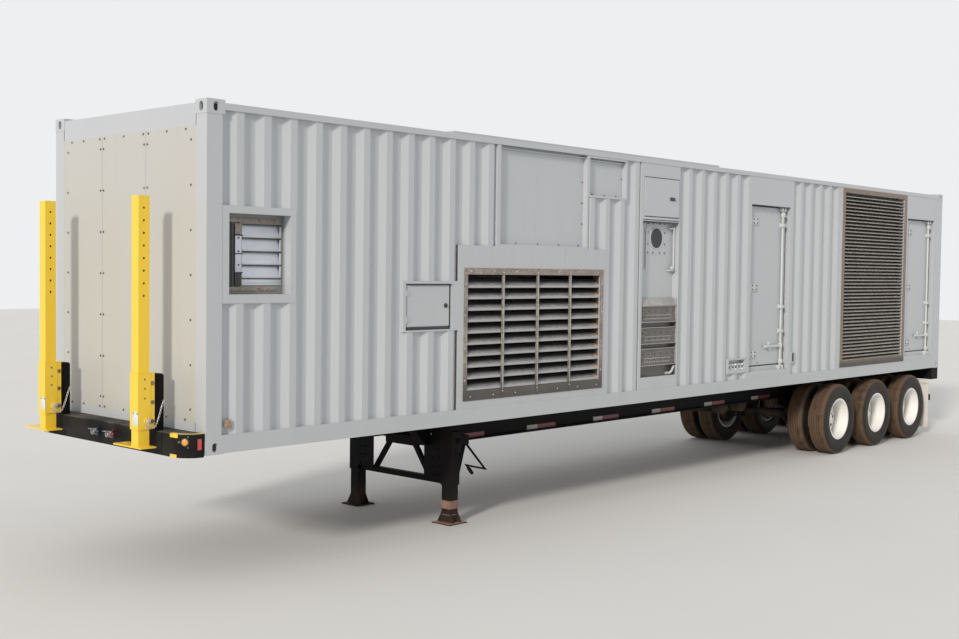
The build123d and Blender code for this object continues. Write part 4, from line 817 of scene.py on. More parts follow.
def rounded(width, height, radius):
    """The outline of a rectangle with rounded corners, centred on zero."""
    outline = []
    for cx, cy, start in ((width / 2 - radius, height / 2 - radius, 0),
                          (radius - width / 2, height / 2 - radius, 90),
                          (radius - width / 2, radius - height / 2, 180),
                          (width / 2 - radius, radius - height / 2, 270)):
        for n in range(CORNER_STEPS + 1):
            angle = math.radians(start + 90 * n / CORNER_STEPS)
            outline.append((cx + radius * math.cos(angle), cy + radius * math.sin(angle)))
    return outline


def run(start, end, count):
    """Evenly spaced values from start to end."""
    return [start + (end - start) * n / (count - 1) for n in range(count)]


# Paint on the pieces that come from the frame
class GENSET_OT_paint(bpy.types.Operator):
    """Gives every carried-over piece its paint, galvanising, rubber or boards"""
    bl_idname = "genset.paint"
    bl_label = "Paint the frame"

    def execute(self, context):
        build_materials(context.scene.genset_paint)
        slots = {part["node"]: part["material_slot"] for part in frame["record"]["subparts"]}
        for name, obj in frame["nodes"].items():
            chosen = MATERIALS[NODE_MATERIALS.get(name) or SLOT_MATERIALS[slots[name]]]
            obj.data.materials.clear()
            obj.data.materials.append(chosen)
        return {"FINISHED"}


# End walls, ribs and roof
class GENSET_OT_wall_bolts(bpy.types.Operator):
    """Bolts the removable end walls to their frames, and screws down the roof cover"""
    bl_idname = "genset.wall_bolts"
    bl_label = "Bolt the end walls and roof"

    columns = (0.226, 0.876, 0.926, 1.586, 1.636, 2.212)
    heights = (2.575, 2.206, 1.837, 1.468, 1.099, 0.727, 0.361)
    top_row = (0.30, 0.58, 0.86, 0.94, 1.25, 1.57, 1.65, 1.93, 2.14)

    def execute(self, context):
        radius = context.scene.genset_sizes.bolt
        spots = [(y, z) for y in self.columns for z in self.heights]
        spots += [(y, z) for y in self.top_row for z in (2.665, 0.271)]
        for end, x, direction in (("front", 0.004, FORWARD), ("rear", LENGTH - 0.004, REARWARD)):
            places = [(at(x, y, z), direction) for y, z in spots]
            fasteners(f"{end}_wall_bolts", places, "bolt", ROOT, radius, 0.007, washer=1.3)
        low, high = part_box("roof_cover")
        inset = 0.03
        rim = low.z + 0.02
        places = [((x, y, rim), UP) for x in run(low.x + inset, high.x - inset, 17)
                  for y in (low.y + inset / 3, high.y - inset / 3)]
        fasteners("roof_cover_screws", places, "steel", ROOT, 0.007)
        self.add_sealant()
        return {"FINISHED"}

    def add_sealant(self):
        """A thin bead where the ribbed sheet meets the rails."""
        shape = Shape()
        for side in SIDES:
            for x0, x1, z in ((0.16, 10.98, 0.158), (0.16, 3.49, 2.812), (5.73, 5.99, 2.812),
                              (6.81, 8.40, 2.812), (9.61, 10.98, 2.812)):
                shape.pipe([across(at(x, 0.052, z), side) for x in run(x0, x1, 3)], 0.006, 8)
        shape.piece("rib_sealant", "enclosure", ROOT, "grey_paint", 60)


# Shutter
class GENSET_OT_shutter(bpy.types.Operator):
    """Fits the small shutter with gaskets, edge strips, linkage and its frame screws"""
    bl_idname = "genset.shutter"
    bl_label = "Fit the shutter"

    left, right, face = 0.440, 0.852, 0.124
    lines = (1.898, 1.784, 1.670, 1.556, 1.442)

    def execute(self, context):
        left, right, face = self.left, self.right, self.face
        gaskets, edges = Shape(), Shape()
        for z in self.lines:
            gaskets.around(at((left + right) / 2, face + 0.003, z),
                           ((right - left) / 2, 0.006, 0.0045), 0.002)
        for high, low in zip(self.lines, self.lines[1:]):
            edges.block(at(right - 0.022, face - 0.005, low + 0.010),
                        at(right, face + 0.002, high - 0.008), 0.002)
            edges.around(at((left + right) / 2 - 0.012, face - 0.001, low + 0.013),
                         ((right - left) / 2 - 0.014, 0.004, 0.005), 0.0018)
        edges.block(at(left, face, 1.393), at(right, face + 0.02, 1.436), 0.003)
        edges.block(at(left, face - 0.006, 1.386), at(right, face + 0.004, 1.396), 0.002)
        gaskets.piece("shutter_gaskets", "black")
        edges.piece("shutter_edge_strips", "blade")
        self.add_linkage()
        places = [(at(0.622, 0.121, z), OUTWARD) for z in (1.352, 1.935)]
        fasteners("shutter_screws", places, "bolt", ROOT, 0.0075)
        return {"FINISHED"}

    def add_linkage(self):
        channel, dark, pale = Shape(), Shape(), Shape()
        for low, high in ((1.333, 1.372), (1.914, 1.955)):
            channel.block(at(0.262, 0.121, low), at(0.79, 0.127, high), 0.002)
        channel.block(at(0.366, 0.119, 1.812), at(0.430, 0.127, 1.905), 0.002)
        dark.block(at(0.366, 0.119, 1.380), at(0.430, 0.127, 1.486), 0.002)
        dark.block(at(0.322, 0.1415, 1.372), at(0.350, 0.1465, 1.914), 0.001)
        for z in (1.491, 1.650, 1.806):
            dark.block(at(0.356, 0.112, z - 0.005), at(0.442, 0.121, z + 0.005), 0.002)
        pale.block(at(0.366, 0.116, 1.496), at(0.430, 0.122, 1.801), 0.002)
        for high, low in zip(self.lines, self.lines[1:]):
            pale.block(at(0.300, 0.1375, low + 0.012), at(0.314, 0.1445, high - 0.010), 0.002)
            dark.lathe([(0, -0.004), (0.007, -0.004), (0.008, 0), (0.008, 0.004), (0, 0.005)],
                       at(0.398, 0.116, low), OUTWARD, 12)
        channel.piece("shutter_channels", "intake_frame")
        dark.piece("shutter_linkage", "black")
        pale.piece("shutter_actuator_plates", "blade")


# Intake louvre, blank panels and ground lug
class GENSET_OT_panel_screws(bpy.types.Operator):
    """Screws the intake louvre, blank panels, ground lug and radiator flanges in place"""
    bl_idname = "genset.panel_screws"
    bl_label = "Screw the panels in place"

    def execute(self, context):
        radius = context.scene.genset_sizes.screw
        rows = [(x, z) for x in (3.13, 3.47, 3.81, 4.16, 4.50, 4.85, 5.19) for z in (1.529, 0.274)]
        rows += [(x, z) for x in (3.044, 5.267) for z in (0.44, 0.76, 1.09, 1.40)]
        rows += [(x, z) for x in (3.608, 4.154, 4.700) for z in (0.305, 1.515)]
        places = [(at(x, -0.004 if z in (0.305, 1.515) else 0.0, z), OUTWARD) for x, z in rows]
        fasteners("intake_screws", places, "steel", ROOT, radius * 0.65)
        mullions = Shape()
        for x in (3.608, 4.154, 4.700):
            mullions.block(at(x - 0.008, -0.0075, 0.330), at(x + 0.008, -0.0030, 1.492), 0.0015)
        mullions.piece("intake_mullion_strips", "intake_lip")
        panel = [(3.86, 1.822), (4.21, 1.822), (4.56, 1.822), (4.90, 1.822), (4.958, 2.52),
                 (4.958, 2.29), (4.958, 2.06), (3.573, 2.52), (3.573, 2.29), (3.573, 2.06),
                 (5.14, 2.398), (5.36, 2.398), (5.58, 2.398), (5.682, 2.60), (5.04, 2.60)]
        places = [(at(x, 0.066, z), OUTWARD) for x, z in panel]
        fasteners("blank_panel_screws", places, "bolt", ROOT, radius * 0.9)
        strips = Shape()
        for x0, x1, z in ((3.553, 4.978, 2.780), (5.022, 5.698, 2.765)):
            strips.block(at(x0, 0.034, z), at(x1, 0.067, z + 0.012), 0.003)
        strips.piece("blank_panel_strips", "enclosure")
        self.add_radiator_parts(radius)
        self.add_ground_lug()
        return {"FINISHED"}

    def add_radiator_parts(self, radius):
        """Flange screws and the dark cores behind the slats."""
        spots = [(x, z) for x in run(11.20, 13.09, 7) for z in (0.215, 2.780)]
        spots += [(x, z) for x in (11.092, 13.205) for z in run(0.42, 2.58, 9)]
        for side in SIDES:
            places = [(across(at(x, 0.0, z), side), FACE_TOWARDS[side]) for x, z in spots]
            fasteners(f"{side}_radiator_screws", places, "louvre", ROOT, radius * 0.75)
            core = Shape()
            core.around(across(at(12.14, 0.1251, 1.50), side), (1.08, 0.0249, 1.30), 0.008)
            core.piece(f"{side}_radiator_core", "black")

    def add_ground_lug(self):
        plate, boss = Shape(), Shape()
        plate.block(at(0.186, 0.001, 0.207), at(0.252, 0.010, 0.279), 0.002)
        for x, z in ((0.203, 0.228), (0.235, 0.228), (0.203, 0.258), (0.235, 0.258)):
            boss.lathe([(0, 0), (0.006, 0), (0.006, 0.004), (0.004, 0.007), (0, 0.007)],
                       at(x, 0.002, z), OUTWARD, 12)
        plate.piece("ground_lug", "copper")
        boss.piece("ground_lug_studs", "bolt")


# Junction box
class GENSET_OT_junction(bpy.types.Operator):
    """Fits the junction door with its quarter-turn knob, edge, rain lip and painted shade strips
    in its gap
    """
    bl_idname = "genset.junction"
    bl_label = "Fit the junction door"

    def execute(self, context):
        knob = at(2.778, 0.016, 1.190)
        handle = Shape()
        handle.lathe([(0, -0.002), (0.023, -0.002), (0.0235, 0.003), (0.019, 0.006),
                      (0.0175, 0.006), (0.0165, 0.0135), (0.013, 0.0165), (0, 0.0175)],
                     knob, OUTWARD, 32)
        handle.block(knob + Vector((-0.0045, -0.0215, -0.019)),
                     knob + Vector((0.0045, -0.0095, 0.019)), 0.002)
        handle.piece("junction_knob", "black", "junction_door")
        rim = Shape()
        rim.border(at(2.2545, 0.0142, 0.996), at(2.822, 0.0165, 1.380), 0.007, 0.0009)
        rim.piece("junction_door_edge", "enclosure", "junction_door")
        # painted shade: black strips in the gap below and right of the door, where its shadow
        # falls
        shade_strips = Shape()
        shade_strips.block(at(2.262, 0.017, 0.962), at(2.846, 0.0305, 0.985), 0.003)
        shade_strips.block(at(2.832, 0.017, 0.985), at(2.846, 0.0305, 1.396), 0.003)
        shade_strips.block(at(2.262, 0.017, 1.390), at(2.832, 0.0305, 1.397), 0.002)
        shade_strips.piece("junction_shade_strips", "black")
        lip = Shape()
        lip.prism([(0, 0), (0.016, -0.008), (0.016, -0.011), (0, -0.004)], 0.626,
                  at(2.854, 0.006, 1.416), (0, -1, 0), (0, 0, 1))
        lip.piece("junction_rain_lip", "enclosure")
        return {"FINISHED"}


# Connection panel
class GENSET_OT_connections(bpy.types.Operator):
    """Dresses the cable connection panel: port mesh, rods, latch, perforations and bracket"""
    bl_idname = "genset.connections"
    bl_label = "Dress the connection panel"

    def execute(self, context):
        self.add_port()
        self.add_rods()
        self.add_latch()
        self.add_perforations()
        return {"FINISHED"}

    def add_port(self):
        centre = at(6.430, 0.083, 1.945)
        turn = Matrix.Translation(centre) @ Matrix.Rotation(math.pi / 2, 4, "X")
        sheet = bpy.data.meshes.new("Blank")
        grow("port_mesh", sheet, "Wire mesh", {"Radius": 0.120, "Count": 25, "Wire": 0.0014},
             "black", ROOT, turn)
        ring = Shape()
        ring.lathe([(0.119, 0.0), (0.119, 0.003), (0.121, 0.006), (0.129, 0.006), (0.131, 0.004),
                    (0.132, 0.0), (0.119, 0.0)], at(6.430, 0.086, 1.945), OUTWARD, 64)
        ring.piece("port_ring", "enclosure")
        back = Shape()
        back.lathe([(0, 0), (0.1185, 0), (0.1185, 0.0008), (0, 0.0008)],
                   at(6.430, 0.0832, 1.945), OUTWARD, 48)
        back.piece("port_shadow_disc", "black")
        spots = [(u * 0.172, v * 0.172) for u in (-1, -0.4, 0.4, 1) for v in (-1, 1)]
        spots += [(u * 0.172, v * 0.172) for u in (-1, 1) for v in (-0.4, 0.4)]
        places = [(at(6.430 + u, 0.087, 1.945 + v), OUTWARD) for u, v in spots]
        fasteners("port_screws", places, "bolt", ROOT, 0.009)

    def add_rods(self):
        bars = Shape()
        bars.block(at(6.205, 0.070, 1.570), at(6.228, 0.091, 2.060), 0.004)
        for z in (1.585, 2.045):
            bars.block(at(6.196, 0.080, z - 0.016), at(6.237, 0.091, z + 0.016), 0.003)
        bars.pipe([at(6.752, 0.052, 1.585), at(6.752, 0.052, 2.085)], 0.0085, 16)
        bars.block(at(6.665, 0.046, 2.062), at(6.770, 0.091, 2.076), 0.003)
        bars.block(at(6.665, 0.046, 1.556), at(6.770, 0.091, 1.570), 0.003)
        bars.lathe([(0, 0), (0.020, 0), (0.024, 0.006), (0.024, 0.018), (0.016, 0.026),
                    (0, 0.028)],
                   at(6.700, 0.050, 1.592), OUTWARD, 24)
        bars.piece("connection_bars", "lock")
        bracket = Shape()
        bracket.pipe([at(6.690, 0.080, 0.318), at(6.690, 0.045, 0.322), at(6.725, 0.035, 0.345),
                      at(6.765, 0.035, 0.405)], 0.014, 10)
        bracket.block(at(6.665, 0.076, 0.304), at(6.735, 0.091, 0.336), 0.003)
        bracket.piece("connection_hook", "lock")

    def add_latch(self):
        latch = Shape()
        face = -0.003
        latch.prism(rounded(0.098, 0.038, 0.006), 0.0095, at(6.625, face, 2.415),
                    (1, 0, 0), (0, 0, 1), 0.001)
        latch.block(at(6.598, face - 0.0135, 2.404), at(6.642, face - 0.009, 2.426), 0.002)
        latch.piece("control_latch", "black", "control_door")
        hook = Shape()
        hook.pipe([at(6.690, face - 0.001, 2.402), at(6.690, face - 0.008, 2.400),
                   at(6.722, face - 0.008, 2.392), at(6.728, face - 0.008, 2.366)], 0.0028, 8)
        hook.piece("control_hatch_hook", "steel", "control_door")
        strip = Shape()
        strip.block(at(6.030, -0.001, 2.160), at(6.790, 0.007, 2.186), 0.002)
        strip.piece("control_lower_strip", "enclosure")
        # painted shade: black lines round the hatch where its edges cast shadow, and a black bar
        # for the shadow under the recess's top edge
        shade_strips = Shape()
        for x0, x1, z0, z1 in ((6.062, 6.776, 2.650, 2.657), (6.062, 6.776, 2.188, 2.195),
                               (6.774, 6.781, 2.195, 2.650), (6.050, 6.778, 2.152, 2.158)):
            shade_strips.block(at(x0, 0.0015, z0), at(x1, 0.0075, z1), 0.001, 1)
        shade_strips.block(at(6.046, 0.012, 2.118), at(6.782, 0.030, 2.136), 0.003)
        shade_strips.piece("control_shade_strips", "black")

    def add_perforations(self):
        """Small round holes in the sloping fronts of the three cable boxes."""
        rows = {0.045: [], 0.087: [], 0.111: [], 0.153: []}
        trim = Shape()
        for low, high in ((0.944, 1.142), (0.688, 0.886), (0.431, 0.636)):
            for n, (up, dots) in enumerate(rows.items()):
                shift = 0.022 * (n % 2)
                dots += [(at(x + shift, 0.0255, low + up), OUTWARD) for x in run(6.150, 6.640, 11)]
            trim.block(at(6.042, 0.012, low - 0.001), at(6.786, 0.027, low + 0.008), 0.002)
            trim.block(at(6.042, 0.012, high - 0.009), at(6.786, 0.027, high), 0.002)
            trim.block(at(6.770, 0.014, low + 0.008), at(6.786, 0.027, high - 0.009), 0.002)
            trim.block(at(6.042, 0.014, low + 0.008), at(6.056, 0.027, high - 0.009), 0.002)
        # the two upper rows in dark steel are painted shade under each box's top; the two lower
        # rows are bright steel
        for (up, dots), material in zip(rows.items(), ("steel", "steel", "bolt", "bolt")):
            fasteners(f"cable_box_perforations_{round(up * 1000)}", dots, material, ROOT, 0.0064,
                      0.0018, 8, 1.2)
        trim.piece("cable_box_lips", "intake_lip")
        tray = Shape()
        tray.prism([(0, 0), (0.012, 0.002), (0.075, 0.090), (0.062, 0.090)], 0.744,
                   at(6.042, 0.014, 1.144), (0, 1, 0), (0, 0, 1), 0.001)
        tray.block(at(6.770, 0.014, 1.146), at(6.788, 0.088, 1.232), 0.002)
        tray.piece("cable_tray", "intake_lip")


# Gland box and slot box
class GENSET_OT_service_boxes(bpy.types.Operator):
    """Fits cable glands, a lid lip and a black block as painted shade in the slot beside the front
    door
    """
    bl_idname = "genset.service_boxes"
    bl_label = "Fit the service boxes"

    def execute(self, context):
        glands, lip, dark = Shape(), Shape(), Shape()
        for n, x in enumerate(run(8.015, 8.345, 5)):
            for z, reach in ((0.292, 0.034), (0.352, 0.030)):
                glands.lathe([(0, -0.012), (0.021, -0.012), (0.021, 0.006), (0.017, 0.008),
                              (0.016, reach - 0.006), (0.012, reach), (0, reach)],
                             at(x, 0.044, z), OUTWARD, 6 if n % 2 else 18)
        lip.prism([(0, 0), (0.022, -0.010), (0.022, -0.014), (0, -0.005)], 0.440,
                  at(8.400, 0.020, 0.436), (0, -1, 0), (0, 0, 1))
        # painted shade: a black block for the shade inside the slot
        dark.block(at(9.626, -0.0008, 0.328), at(9.674, 0.005, 0.446), 0.002)
        glands.piece("cable_glands", "steel")
        lip.piece("gland_box_lip", "enclosure")
        dark.piece("slot_shade", "black")
        return {"FINISHED"}


# Personnel doors
class GENSET_OT_doors(bpy.types.Operator):
    """Fits both personnel doors with hinge plates, lock rod cams, handle, hasp, sills and painted
    shade lines
    """
    bl_idname = "genset.doors"
    bl_label = "Fit the door hardware"

    recesses = {"front": (8.483, 9.514), "rear": (13.297, 14.330)}
    hinge_heights = (2.235, 1.354, 0.466)

    def execute(self, context):
        for name, (left, right) in self.recesses.items():
            self.add_hinges(name, left)
            self.add_lock(name, right - 0.139)
            self.add_handle(name, right - 0.139)
            self.add_sill_and_shade_lines(name, left, right)
        return {"FINISHED"}

    def add_hinges(self, name, left):
        plates, pins, places = Shape(), Shape(), []
        for z in self.hinge_heights:
            plates.block(at(left + 0.040, 0.058, z - 0.050), at(left + 0.272, 0.0690, z + 0.050),
                         0.004)
            plates.block(at(left + 0.034, 0.030, z - 0.040), at(left + 0.044, 0.0685, z + 0.040),
                         0.003)
            pins.lathe([(0, -0.072), (0.008, -0.072), (0.0145, -0.067), (0.0145, 0.067),
                        (0.008, 0.072), (0, 0.072)], at(left + 0.020, 0.030, z), UP, 20)
            places += [(at(left + x, 0.058, z + up), OUTWARD) for x in (0.150, 0.238)
                       for up in (-0.026, 0.026)]
        plates.piece(f"{name}_hinge_plates", "lock", f"{name}_door")
        pins.piece(f"{name}_hinge_barrels", "lock")
        fasteners(f"{name}_hinge_bolts", places, "bolt", f"{name}_door", 0.010)

    def add_lock(self, name, x):
        guides, cams, bolts = Shape(), Shape(), []
        for z in (2.200, 1.090, 0.760):
            guides.block(at(x - 0.040, 0.058, z - 0.030), at(x + 0.040, 0.077, z + 0.030), 0.003)
            for side in (-1, 1):
                guides.block(at(x + side * 0.026 - 0.006, 0.026, z - 0.021),
                             at(x + side * 0.026 + 0.006, 0.060, z + 0.021), 0.003)
            guides.block(at(x - 0.032, 0.022, z - 0.021), at(x + 0.032, 0.030, z + 0.021), 0.003)
            bolts += [(at(x + side * 0.033, 0.058, z + up), OUTWARD) for side in (-1, 1)
                      for up in (-0.022, 0.022)]
        guides.piece(f"{name}_rod_guides", "lock", f"{name}_door")
        fasteners(f"{name}_guide_bolts", bolts, "steel", f"{name}_door", 0.0055)
        for z in (0.342, 2.340):
            cams.lathe([(0.0155, -0.035), (0.024, -0.033), (0.026, -0.010), (0.026, 0.010),
                        (0.024, 0.033), (0.0155, 0.035)], at(x, 0.050, z), UP, 24)
            cams.block(at(x - 0.017, 0.014, z - 0.027), at(x + 0.017, 0.030, z + 0.027), 0.005)
        for z in (0.560, 0.760, 1.090, 2.200):
            for step in (-0.034, 0.028):
                cams.lathe([(0.015, 0), (0.021, 0.001), (0.021, 0.005), (0.015, 0.006)],
                           at(x, 0.050, z + step), UP, 20)
        cams.piece(f"{name}_rod_cams", "lock", f"{name}_lock_rod", "zinc")
        keepers = Shape()
        for z0, z1 in ((0.226, 0.290), (2.388, 2.448)):
            for side in (-1, 1):
                inner = x + side * 0.040
                keepers.block(at(inner - 0.008, 0.024, z0), at(inner + 0.008, 0.078, z1), 0.003)
        keepers.piece(f"{name}_keepers", "lock")

    def add_handle(self, name, x):
        grip, hasp = Shape(), Shape()
        z = 0.560
        grip.block(at(x - 0.448, 0.034, z - 0.019), at(x - 0.290, 0.048, z + 0.019), 0.006)
        grip.lathe([(0.0155, -0.034), (0.027, -0.030), (0.029, -0.022), (0.029, 0.022),
                    (0.027, 0.030), (0.0155, 0.034)], at(x, 0.050, z), UP, 24)
        grip.block(at(x - 0.062, 0.034, z - 0.022), at(x - 0.014, 0.049, z + 0.022), 0.005)
        grip.piece(f"{name}_handle", "lock", f"{name}_lock_rod", "zinc")
        plate = x - 0.267
        hasp.block(at(plate - 0.034, 0.066, z - 0.060), at(plate + 0.034, 0.077, z + 0.060), 0.003)
        hasp.block(at(plate - 0.026, 0.052, z + 0.020), at(plate + 0.026, 0.067, z + 0.046), 0.004)
        hasp.pipe([at(plate - 0.012, 0.060, z + 0.040), at(plate - 0.012, 0.034, z + 0.046),
                   at(plate, 0.026, z + 0.052), at(plate + 0.012, 0.034, z + 0.046),
                   at(plate + 0.012, 0.060, z + 0.040)], 0.004, 8)
        hasp.block(at(plate - 0.026, 0.050, z - 0.050), at(plate + 0.026, 0.067, z - 0.022), 0.004)
        hasp.piece(f"{name}_hasp", "lock", f"{name}_door", "zinc")
        dot = Shape()
        dot.lathe([(0, 0), (0.011, 0), (0.011, 0.004), (0.008, 0.007), (0, 0.007)],
                  at(x - 0.560, 0.077, 0.345), OUTWARD, 20)
        dot.piece(f"{name}_drain_plug", "bolt", f"{name}_door")

    def add_sill_and_shade_lines(self, name, left, right):
        # painted shade: a black border on the door's edges for the shadow lines round it
        edge_shade, sill = Shape(), Shape()
        edge_shade.border(at(left + 0.010, 0.0745, 0.302), at(right - 0.010, 0.079, 2.440), 0.013,
                    0.0015)
        edge_shade.piece(f"{name}_door_edge_shade", "black", f"{name}_door")
        sill.prism([(0, 0), (0.066, 0), (0.066, 0.020), (0.004, 0.006)], right - left - 0.010,
                   at(left + 0.005, 0.008, 0.226), (0, 1, 0), (0, 0, 1), 0.001)
        sill.piece(f"{name}_door_sill", "enclosure")
        # painted shadow: a black strip under the top of the door frame
        shade_strips = Shape()
        shade_strips.block(at(left, 0.012, 2.4405), at(right, 0.074, 2.4475), 0.002)
        shade_strips.piece(f"{name}_door_top_shade", "black")


# Front of the trailer
class GENSET_OT_front_end(bpy.types.Operator):
    """Fits lights, reflectors, tape and couplings to the front of the trailer"""
    bl_idname = "genset.front_end"
    bl_label = "Fit the front lights and couplings"

    face, bend, radius = -0.190, 0.180, 0.170
    top, bottom = 0.185, -0.010

    def on_end(self, degrees, z, side, out=0.0):
        """A point and its outward direction on the rounded end; 0 degrees faces forward."""
        turn = math.radians(degrees)
        reach = self.radius + out
        centre = (self.face + self.radius, self.bend)
        spot = across(at(centre[0] - reach * math.cos(turn), centre[1] - reach * math.sin(turn),
                         z), side)
        away = Vector((-math.cos(turn), FACE_TOWARDS[side].y * math.sin(turn), 0))
        return spot, away

    def band(self, shape, side, first, last, z, height, depth, straight=0.0, lift=0.0008):
        """A strip bent round the end, which may run on along the straight front face."""
        steps = [first + (last - first) * n / 14 for n in range(15)]
        outer = [self.on_end(a, 0, side, lift)[0] for a in steps]
        inner = [self.on_end(a, 0, side, -depth)[0] for a in steps]
        if straight:
            outer.insert(0, across(at(self.face - lift, self.bend + straight, 0), side))
            inner.insert(0, across(at(self.face + depth, self.bend + straight, 0), side))
        base = at(0, 0, 0)
        outline = [(p.x - base.x, p.y - base.y) for p in outer + inner[::-1]]
        shape.prism(outline, height, at(0, 0, z), (1, 0, 0), (0, 1, 0))

    def execute(self, context):
        lights, rims, screws, reflectors = Shape(), Shape(), [], Shape()
        tapes, seams = Shape(), Shape()
        for side in SIDES:
            centre, away = self.on_end(40, 0.120, side)
            lights.lathe([(0, -0.006), (0.025, -0.006), (0.027, 0.005), (0.023, 0.011),
                          (0.014, 0.015), (0, 0.016)], centre, away, 36)
            rims.lathe([(0.025, -0.006), (0.025, 0.006), (0.029, 0.007), (0.035, 0.004),
                        (0.037, -0.004), (0.025, -0.006)], centre, away, 36)
            along = away.cross(UP)
            for angle in (60, 180, 300):
                turn = math.radians(angle)
                offset = along * (-0.050 * math.cos(turn)) + UP * (0.050 * math.sin(turn))
                if side == "far":
                    offset = along * (0.050 * math.cos(turn)) + UP * (0.050 * math.sin(turn))
                screws.append((centre + offset - away * 0.006, away))
            self.band(reflectors, side, 74, 85, 0.056, 0.086, 0.003, lift=0.005)
            self.band(rims, side, 73, 86, 0.052, 0.094, 0.003, lift=0.003)
            self.band(tapes, side, 0, 18, 0.152, 0.034, 0.001, 0.044)
            self.band(tapes, side, 0, 14, self.bottom - 0.0005, 0.026, 0.001, 0.044)
            self.band(tapes, side, 0, 96, self.top - 0.0004, 0.0014, 0.036, 0.044)
            low, high = self.top - 0.004, self.bottom + 0.004
            seams.pipe([across(at(self.face - 0.0005, 0.345, z), side) for z in (high, low)],
                       0.0028, 8)
        lights.piece("front_marker_lenses", "amber")
        rims.piece("front_marker_rims", "black")
        fasteners("front_marker_screws", screws, "bolt", ROOT, 0.007, 0.008)
        reflectors.piece("front_reflectors", "red")
        tapes.piece("front_edge_tape", "yellow")
        seams.piece("front_beam_seams", "chassis")
        self.add_couplings()
        return {"FINISHED"}

    def add_couplings(self):
        """Two air couplings, blue and red, and two sockets with hinged lids."""
        for material, y in (("blue", 1.290), ("red_paint", 1.040)):
            shape = Shape()
            hub = at(self.face - 0.042, y, 0.088)
            shape.pipe([at(self.face, y + 0.024, 0.122), at(self.face - 0.024, y + 0.022, 0.122),
                        at(self.face - 0.040, y + 0.008, 0.108), hub], 0.009, 12)
            shape.lathe([(0, -0.011), (0.021, -0.011), (0.026, -0.006), (0.026, 0.003),
                         (0.021, 0.008), (0.015, 0.009), (0.013, 0.013), (0.006, 0.013),
                         (0.006, 0.006), (0, 0.006)], hub, FORWARD, 28)
            shape.block(hub + Vector((-0.008, -0.036, -0.010)),
                        hub + Vector((-0.002, -0.018, 0.011)), 0.0025)
            shape.block(hub + Vector((-0.016, -0.038, -0.008)),
                        hub + Vector((-0.002, -0.032, 0.010)), 0.0025)
            shape.piece(f"front_coupling_{material}", material, ROOT, "black_paint")
        sockets = Shape()
        for y in (1.395, 1.155):
            middle = at(self.face, y, 0.082)
            sockets.block(middle + Vector((-0.005, -0.032, -0.027)),
                          middle + Vector((0.0, 0.032, 0.027)), 0.0025)
            sockets.lathe([(0, 0.0), (0.024, 0.0), (0.024, 0.029), (0.021, 0.032), (0.018, 0.030),
                           (0.018, 0.011), (0, 0.011)], middle, FORWARD, 28)
            sockets.pipe([middle + Vector((-0.029, y_off, 0.026)) for y_off in (-0.019, 0.019)],
                         0.004, 10)
            sockets.block(middle + Vector((-0.057, -0.024, 0.026)),
                          middle + Vector((-0.028, 0.024, 0.031)), 0.002)
        sockets.piece("front_sockets", "intake_lip")
        # painted shade: black blocks inside the corner castings' cavities, for the shade seen
        # through their holes
        hollow_shade = Shape()
        for x, y, z in product((0.0, LENGTH - 0.178), (0.0, WIDTH - 0.162), (0.0, HEIGHT - 0.118)):
            hollow_shade.block(at(x + 0.032, y + 0.032, z + 0.032),
                          at(x + 0.146, y + 0.130, z + 0.086), 0.006)
        hollow_shade.piece("casting_hollow_shade", "black")


